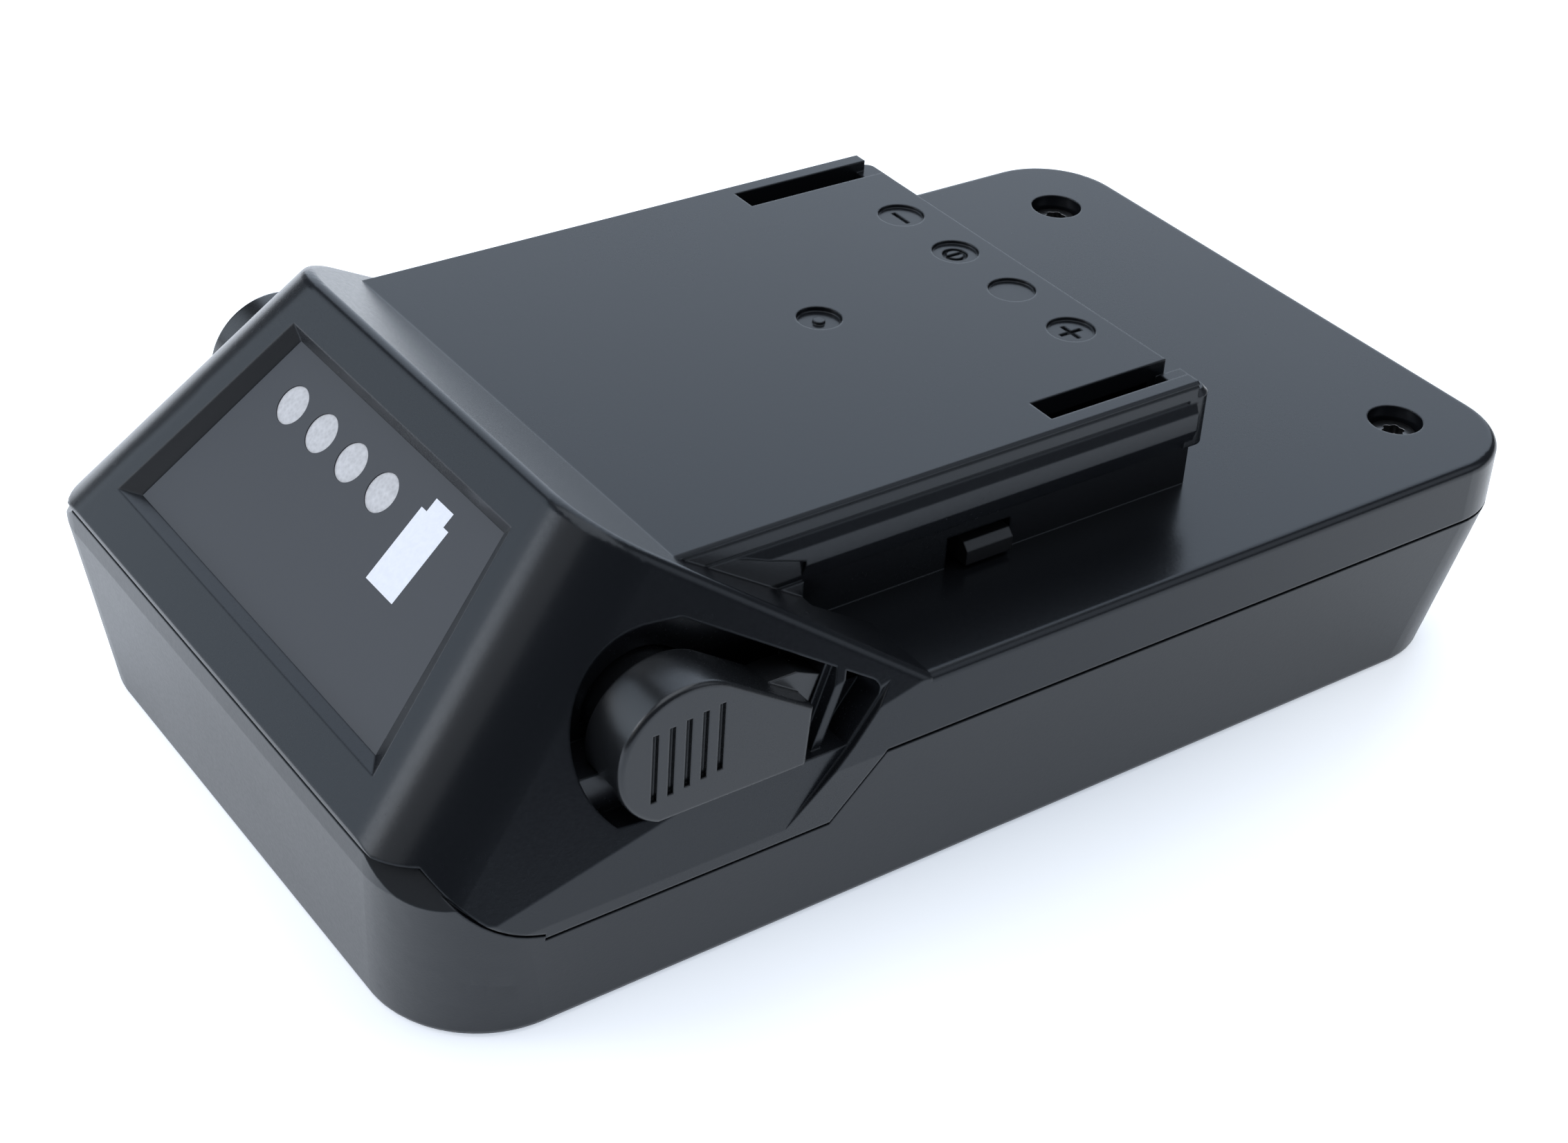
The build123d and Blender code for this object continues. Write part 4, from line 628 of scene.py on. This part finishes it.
def screwTree(name, material, shape):  # a domed head with a lobed socket, over a threaded shank
    tree = Grower(name, ["Head Radius", "Head Height", "Crown", "Socket Radius", "Socket Depth",
                         "Core Radius", "Thread Depth", "Length", "Pitch"])
    radius, height = tree.size("Head Radius"), tree.size("Head Height")
    head = tree.column(radius, height, shape["headSides"], shape["headRings"], shape["headFans"])
    head = tree.domed(head, radius, tree.size("Crown"))
    head = tree.moved(head, Translation=tree.vector(z=height * 0.5))
    outer, depth = tree.size("Socket Radius"), tree.size("Socket Depth")
    star = tree.add("GeometryNodeCurveStar", None,
                    {"Points": shape["lobes"], "Inner Radius": outer * shape["waist"], "Outer Radius": outer})
    rounded = tree.add("GeometryNodeFilletCurve", {"mode": "POLY"},
                       {"Curve": star, "Count": shape["lobeSteps"], "Radius": outer * shape["lobeRound"],
                        "Limit Radius": True})
    lid = tree.add("GeometryNodeFillCurve", {"mode": "NGONS"}, {"Curve": rounded})
    walls = tree.add("GeometryNodeExtrudeMesh", {"mode": "FACES"},
                     {"Mesh": lid, "Offset": tree.vector(z=1.0), "Offset Scale": depth * 2.0,
                      "Individual": False}, "Mesh")
    under = tree.add("GeometryNodeFlipFaces", None, {"Mesh": lid})
    plug = tree.add("GeometryNodeMergeByDistance", None, {"Geometry": tree.joined(walls, under)})
    plug = tree.moved(plug, Translation=tree.vector(z=height - depth),
                      Rotation=(0.0, 0.0, radians(shape["socketTurn"])))  # off the head's own edges
    socketed = tree.add("GeometryNodeMeshBoolean", {"operation": "DIFFERENCE"}, {0: head, 1: plug})
    core, length = tree.size("Core Radius"), tree.size("Length")
    shank = tree.column(core, length, shape["shankSides"])
    shank = tree.moved(shank, Translation=tree.vector(z=length * -0.5))
    turns = length / tree.size("Pitch")
    thread = tree.add("GeometryNodeCurveSpiral", None,
                      {"Resolution": shape["threadSteps"], "Rotations": turns, "Start Radius": core,
                       "End Radius": core, "Height": length * shape["threadShare"]})
    ridge = tree.add("GeometryNodeCurvePrimitiveCircle", {"mode": "RADIUS"},
                     {"Resolution": shape["ridgeSides"], "Radius": tree.size("Thread Depth")})
    thread = tree.add("GeometryNodeCurveToMesh", None,
                      {"Curve": thread, "Profile Curve": ridge, "Fill Caps": True})
    below = length * ((shape["threadShare"] + 1) * -0.5)
    thread = tree.moved(thread, Translation=tree.vector(z=below))
    return tree.finish(tree.joined(socketed, shank, thread), material)


caseScrewSize = {
    "Head Radius": 2.45, "Head Height": 1.9, "Crown": 0.32, "Socket Radius": 1.45, "Socket Depth": 1.1,
    "Core Radius": 1.16, "Thread Depth": 0.32, "Length": 12.0, "Pitch": 1.1,
}
boardScrewSize = {
    "Head Radius": 1.9, "Head Height": 1.3, "Crown": 0.30, "Socket Radius": 1.0, "Socket Depth": 0.8,
    "Core Radius": 0.78, "Thread Depth": 0.21, "Length": 7.0, "Pitch": 0.8,
}
gaugeScrewSize = {
    "Head Radius": 1.5, "Head Height": 0.9, "Crown": 0.22, "Socket Radius": 0.8, "Socket Depth": 0.6,
    "Core Radius": 0.60, "Thread Depth": 0.19, "Length": 2.8, "Pitch": 0.7,
}
gaugeFace = {"foot": (0, -63.5, 21.1), "slope": 45.1336}  # the slanted face, from its lower edge
gaugeTurn = Matrix.Translation(Vector(gaugeFace["foot"]) * mm)
gaugeTurn = gaugeTurn @ Matrix.Rotation(radians(gaugeFace["slope"]), 4, "X")
flip = Matrix.Rotation(pi, 4, "X")
screwPlaces = {
    "rear": [(x, 54.5, 21.2) for x in (27.3, -27.3)],
    "front": [(x, 54.5, -2.6) for x in (27.3, -27.3)],
    "board": [(x, y, 24.2) for x in (-14.5, 14.5) for y in (-25.55, -6.85)],
    "gauge": [(x, -18.0, 5.2) for x in (-18.6, 18.6)],
}

caseScrew = screwTree("caseScrew", finishes["screwSteel"], screwShape)
smallScrew = screwTree("smallScrew", finishes["smallSteel"], screwShape)
newPiece(
    "rearScrews", grown("rearScrews", caseScrew, screwPlaces["rear"], caseScrewSize),
    None, "pack", "screw_steel", "rear_screws",
)
newPiece(
    "frontScrews", grown("frontScrews", caseScrew, screwPlaces["front"], caseScrewSize, flip),
    None, "pack", "screw_steel", "front_screws",
)
newPiece(
    "boardScrews", grown("boardScrews", smallScrew, screwPlaces["board"], boardScrewSize),
    None, "pack", "small_screw_steel", "board_screws",
)
newPiece(
    "gaugeBoardScrews",
    grown("gaugeBoardScrews", smallScrew, screwPlaces["gauge"], gaugeScrewSize, gaugeTurn @ flip),
    None, "pack", "small_screw_steel", "gauge_board_screws",
)
print("screws are grown")

lensSize = {"Lens Radius": 1.93, "Lens Height": 0.3, "Crown": 0.10, "Pipe Radius": 1.4, "Pipe Length": 2.0}
lensShape = {"lensSides": 64, "lensRings": 2, "lensFans": 10, "pipeSides": 40}
lensRow = {"count": 4, "first": -13.7, "pitch": 5.63, "up": 20.455, "depth": -1.0}


def lensTree(name, material, shape):  # a domed window on a short light pipe
    tree = Grower(name, ["Lens Radius", "Lens Height", "Crown", "Pipe Radius", "Pipe Length"])
    radius, height = tree.size("Lens Radius"), tree.size("Lens Height")
    lens = tree.column(radius, height, shape["lensSides"], shape["lensRings"], shape["lensFans"])
    lens = tree.domed(lens, radius, tree.size("Crown"))
    lens = tree.moved(lens, Translation=tree.vector(z=height * -0.5))
    length = tree.size("Pipe Length")
    pipe = tree.column(tree.size("Pipe Radius"), length, shape["pipeSides"])
    pipe = tree.moved(pipe, Translation=tree.vector(z=length * -0.5 - height))
    return tree.finish(tree.joined(lens, pipe), material)


lensPlaces = [
    (lensRow["first"] + n * lensRow["pitch"], lensRow["up"], lensRow["depth"])
    for n in range(lensRow["count"])
]
gaugeLens = lensTree("gaugeLens", finishes["milkyLens"], lensShape)
newPiece(
    "gaugeLenses", grown("gaugeLenses", gaugeLens, lensPlaces, lensSize, gaugeTurn),
    None, "pack", "gauge_lens", "gauge_lenses",
)
print("lenses are grown")

springSetup = {
    "start": 12.0, "end": 26.3, "y": -36.5, "z": 28.4, "radius": 2.35, "wire": 0.25, "spare": 0.02,
    "freeTurns": 6.0, "closedTurns": 1.25, "closedPitch": 0.52, "turnSteps": 24, "wireSteps": 3,
    "travel": 2.4,
}


def coilSpring(side, setup):  # a compression spring with closed ends
    closed, pitch = setup["closedTurns"], setup["closedPitch"]
    low = setup["start"] + setup["wire"] + setup["spare"]
    high = setup["end"] - setup["wire"] - setup["spare"]
    total = setup["freeTurns"] + 2 * closed
    openPitch = (high - low - 2 * closed * pitch) / setup["freeTurns"]
    steps = int(total * setup["turnSteps"])
    curve = bpy.data.curves.new("coil", "CURVE")
    curve.dimensions = "3D"
    curve.bevel_depth = setup["wire"] * mm
    curve.bevel_resolution = setup["wireSteps"]
    curve.use_fill_caps = True
    path = curve.splines.new("POLY")
    path.points.add(steps)
    for n in range(steps + 1):
        turn = total * n / steps
        shut = min(turn, closed) + max(turn - (total - closed), 0)  # turns so far in the closed ends
        along = low + shut * pitch + (turn - shut) * openPitch
        angle = 2 * pi * turn
        path.points[n].co = (
            side * along * mm, (setup["y"] + setup["radius"] * cos(angle)) * mm,
            (setup["z"] + setup["radius"] * sin(angle)) * mm, 1,
        )
    draft = bpy.data.objects.new("coilDraft", curve)
    scene.collection.objects.link(draft)
    bpy.context.view_layer.update()
    mesh = bpy.data.meshes.new_from_object(draft.evaluated_get(bpy.context.evaluated_depsgraph_get()))
    bpy.data.objects.remove(draft)
    for face in mesh.polygons:
        face.use_smooth = True
    return mesh


for side, hand in ((1, "right"), (-1, "left")):
    spring = newPiece(
        "buttonSpring" + hand.title(), coilSpring(side, springSetup), finishes["springSteel"],
        "pack", "spring_steel", "button_spring_" + hand,
    )
    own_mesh(spring)
print("springs are wound")

forkSetup = {
    "front": 13.4, "rear": 22.0, "plate": 0.6, "half": 1.05, "leg": 0.45, "foot": 24.2, "low": 28.2,
    "high": 34.4, "leaf": 0.34, "split": 0.5, "lap": 0.1, "taper": 0.55, "taperFrom": 0.35, "pitch": 9.15,
    # how far out a leaf's outer face is, and how far along its length
    "run": [(1.05, 0.0), (1.05, 0.30), (1.03, 0.42), (0.95, 0.55), (0.86, 0.68), (0.80, 0.78),
            (0.79, 0.84), (0.83, 0.90), (0.94, 0.96), (1.04, 1.0)],
}


def addBar(mesh, stations):  # a closed bar through a row of four-cornered sections
    rings = [[mesh.verts.new(Vector(corner) * mm) for corner in station] for station in stations]
    for first, second in zip(rings, rings[1:]):
        for n in range(4):
            mesh.faces.new((first[n], first[n - 1], second[n - 1], second[n]))
    mesh.faces.new(rings[0])
    mesh.faces.new(rings[-1][::-1])


def contactFork(name, place, setup):  # a plate on a leg, with two pairs of bent leaves
    mesh = bmesh.new()
    front, plate = setup["front"], setup["front"] + setup["plate"]
    back = (setup["half"], setup["low"], setup["high"])
    leg = (setup["leg"], setup["foot"], setup["low"] + setup["lap"])
    for half, low, high in (back, leg):
        outline = ((-half, front), (half, front), (half, plate), (-half, plate))
        addBar(mesh, [[(place + x, y, z) for x, y in outline] for z in (low, high)])
    middle = (setup["low"] + setup["high"]) / 2
    start, length = plate - setup["lap"], setup["rear"] - plate + setup["lap"]
    lower = (setup["low"], middle - setup["split"] / 2)
    upper = (middle + setup["split"] / 2, setup["high"])
    for side in (1, -1):
        for low, high in (lower, upper):
            stations = []
            for out, along in setup["run"]:
                taper = setup["taper"] * max(along - setup["taperFrom"], 0)
                y = start + along * length
                outer, inner = place + side * out, place + side * (out - setup["leaf"])
                stations.append([(outer, y, low + taper), (outer, y, high - taper),
                                 (inner, y, high - taper), (inner, y, low + taper)])
            addBar(mesh, stations)
    bmesh.ops.recalc_face_normals(mesh, faces=mesh.faces)
    data = bpy.data.meshes.new(name)
    mesh.to_mesh(data)
    mesh.free()
    return data


for number, pole in enumerate(("minus", "data", "spare", "plus")):
    name = "contactFork" + pole.title()
    place = (number - 1.5) * forkSetup["pitch"]  # four in a row about the middle
    newPiece(
        name, contactFork(name, place, forkSetup), finishes["contactCopper"],
        "pack", "contact_copper", "contact_" + pole,
    )
print("contact forks are bent")

padSetup = {
    "half": 11.5, "front": -34.9, "rear": 39.9, "low": 1.8, "high": 2.7, "round": 0.3, "press": 0.05,
    "pitch": 18.7, "stations": 96, "arc": 4,
}


def pressedPad(setup):  # foam strip with a shallow press mark along each cell
    mesh = bmesh.new()
    rings = []
    for n in range(setup["stations"] + 1):
        along = n / setup["stations"]
        y = setup["front"] + along * (setup["rear"] - setup["front"])
        end = min(y - setup["front"], setup["rear"] - y)  # the ends are rounded too
        shrink = setup["round"] - (setup["round"] ** 2 - max(setup["round"] - end, 0) ** 2) ** 0.5
        press = setup["press"] * (0.5 + 0.5 * cos(2 * pi * (y - setup["front"]) / setup["pitch"]))
        half, low, high = setup["half"] - shrink, setup["low"] + shrink, setup["high"] - shrink - press
        radius = min(setup["round"], (high - low) / 2)
        ring = []
        for x, z, start in ((half, high, 0), (-half, high, 90), (-half, low, 180), (half, low, 270)):
            for step in range(setup["arc"] + 1):
                angle = radians(start + 90 * step / setup["arc"])
                cx = x - (radius if x > 0 else -radius)
                cz = z - (radius if z == high else -radius)
                corner = Vector((cx + radius * cos(angle), y, cz + radius * sin(angle)))
                ring.append(mesh.verts.new(corner * mm))
        rings.append(ring)
    for first, second in zip(rings, rings[1:]):
        for n in range(len(first)):
            mesh.faces.new((first[n], first[n - 1], second[n - 1], second[n]))
    mesh.faces.new(rings[0])
    mesh.faces.new(rings[-1][::-1])
    bmesh.ops.recalc_face_normals(mesh, faces=mesh.faces)
    for face in mesh.faces:
        face.smooth = len(face.verts) == 4
    data = bpy.data.meshes.new("cellPad")
    mesh.to_mesh(data)
    mesh.free()
    return data


newPiece("cellPad", pressedPad(padSetup), finishes["foamPad"], "pack", "foam", "cell_pad")
print("foam pad is pressed")

nodeFinish = {  # the frame's own pieces that show, under the finish that each one takes
    "upperShell": ["upper_housing"],
    "lowerShell": ["lower_housing"],
    "buttonPlastic": ["release_button_right", "release_button_left"],
    "latchPlastic": ["latch_slide_right", "latch_slide_left"],
    "smokedFilm": ["gauge_film"],
    "paleSymbol": ["gauge_symbol"],
    "tracedBoard": ["gauge_board", "protection_board"],
    "lampBody": ["gauge_lights"],
    "insulationPaper": ["cell_rings", "insulation_sheets"],
    "holderPlastic": ["cell_holder_right", "cell_holder_left"],
    "nickelStrip": ["strip_minus", "link_one_two", "link_two_three", "link_three_four", "link_four_five",
                    "strip_plus"],
    "wrappedCell": ["cell_1", "cell_2", "cell_3", "cell_4", "cell_5"],
    "chipBlack": ["power_transistors", "charge_controller"],
    "sensorBead": ["temperature_sensor"],
    "socketPlastic": ["gauge_cable_socket"],
    "ribbonCable": ["gauge_cable"],
    "blockPlastic": ["contact_block"],
}
for finish, nodes in nodeFinish.items():
    for node in nodes:
        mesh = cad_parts[node].data
        mesh.materials.clear()
        mesh.materials.append(finishes[finish])
print("the frame's pieces have their finishes")
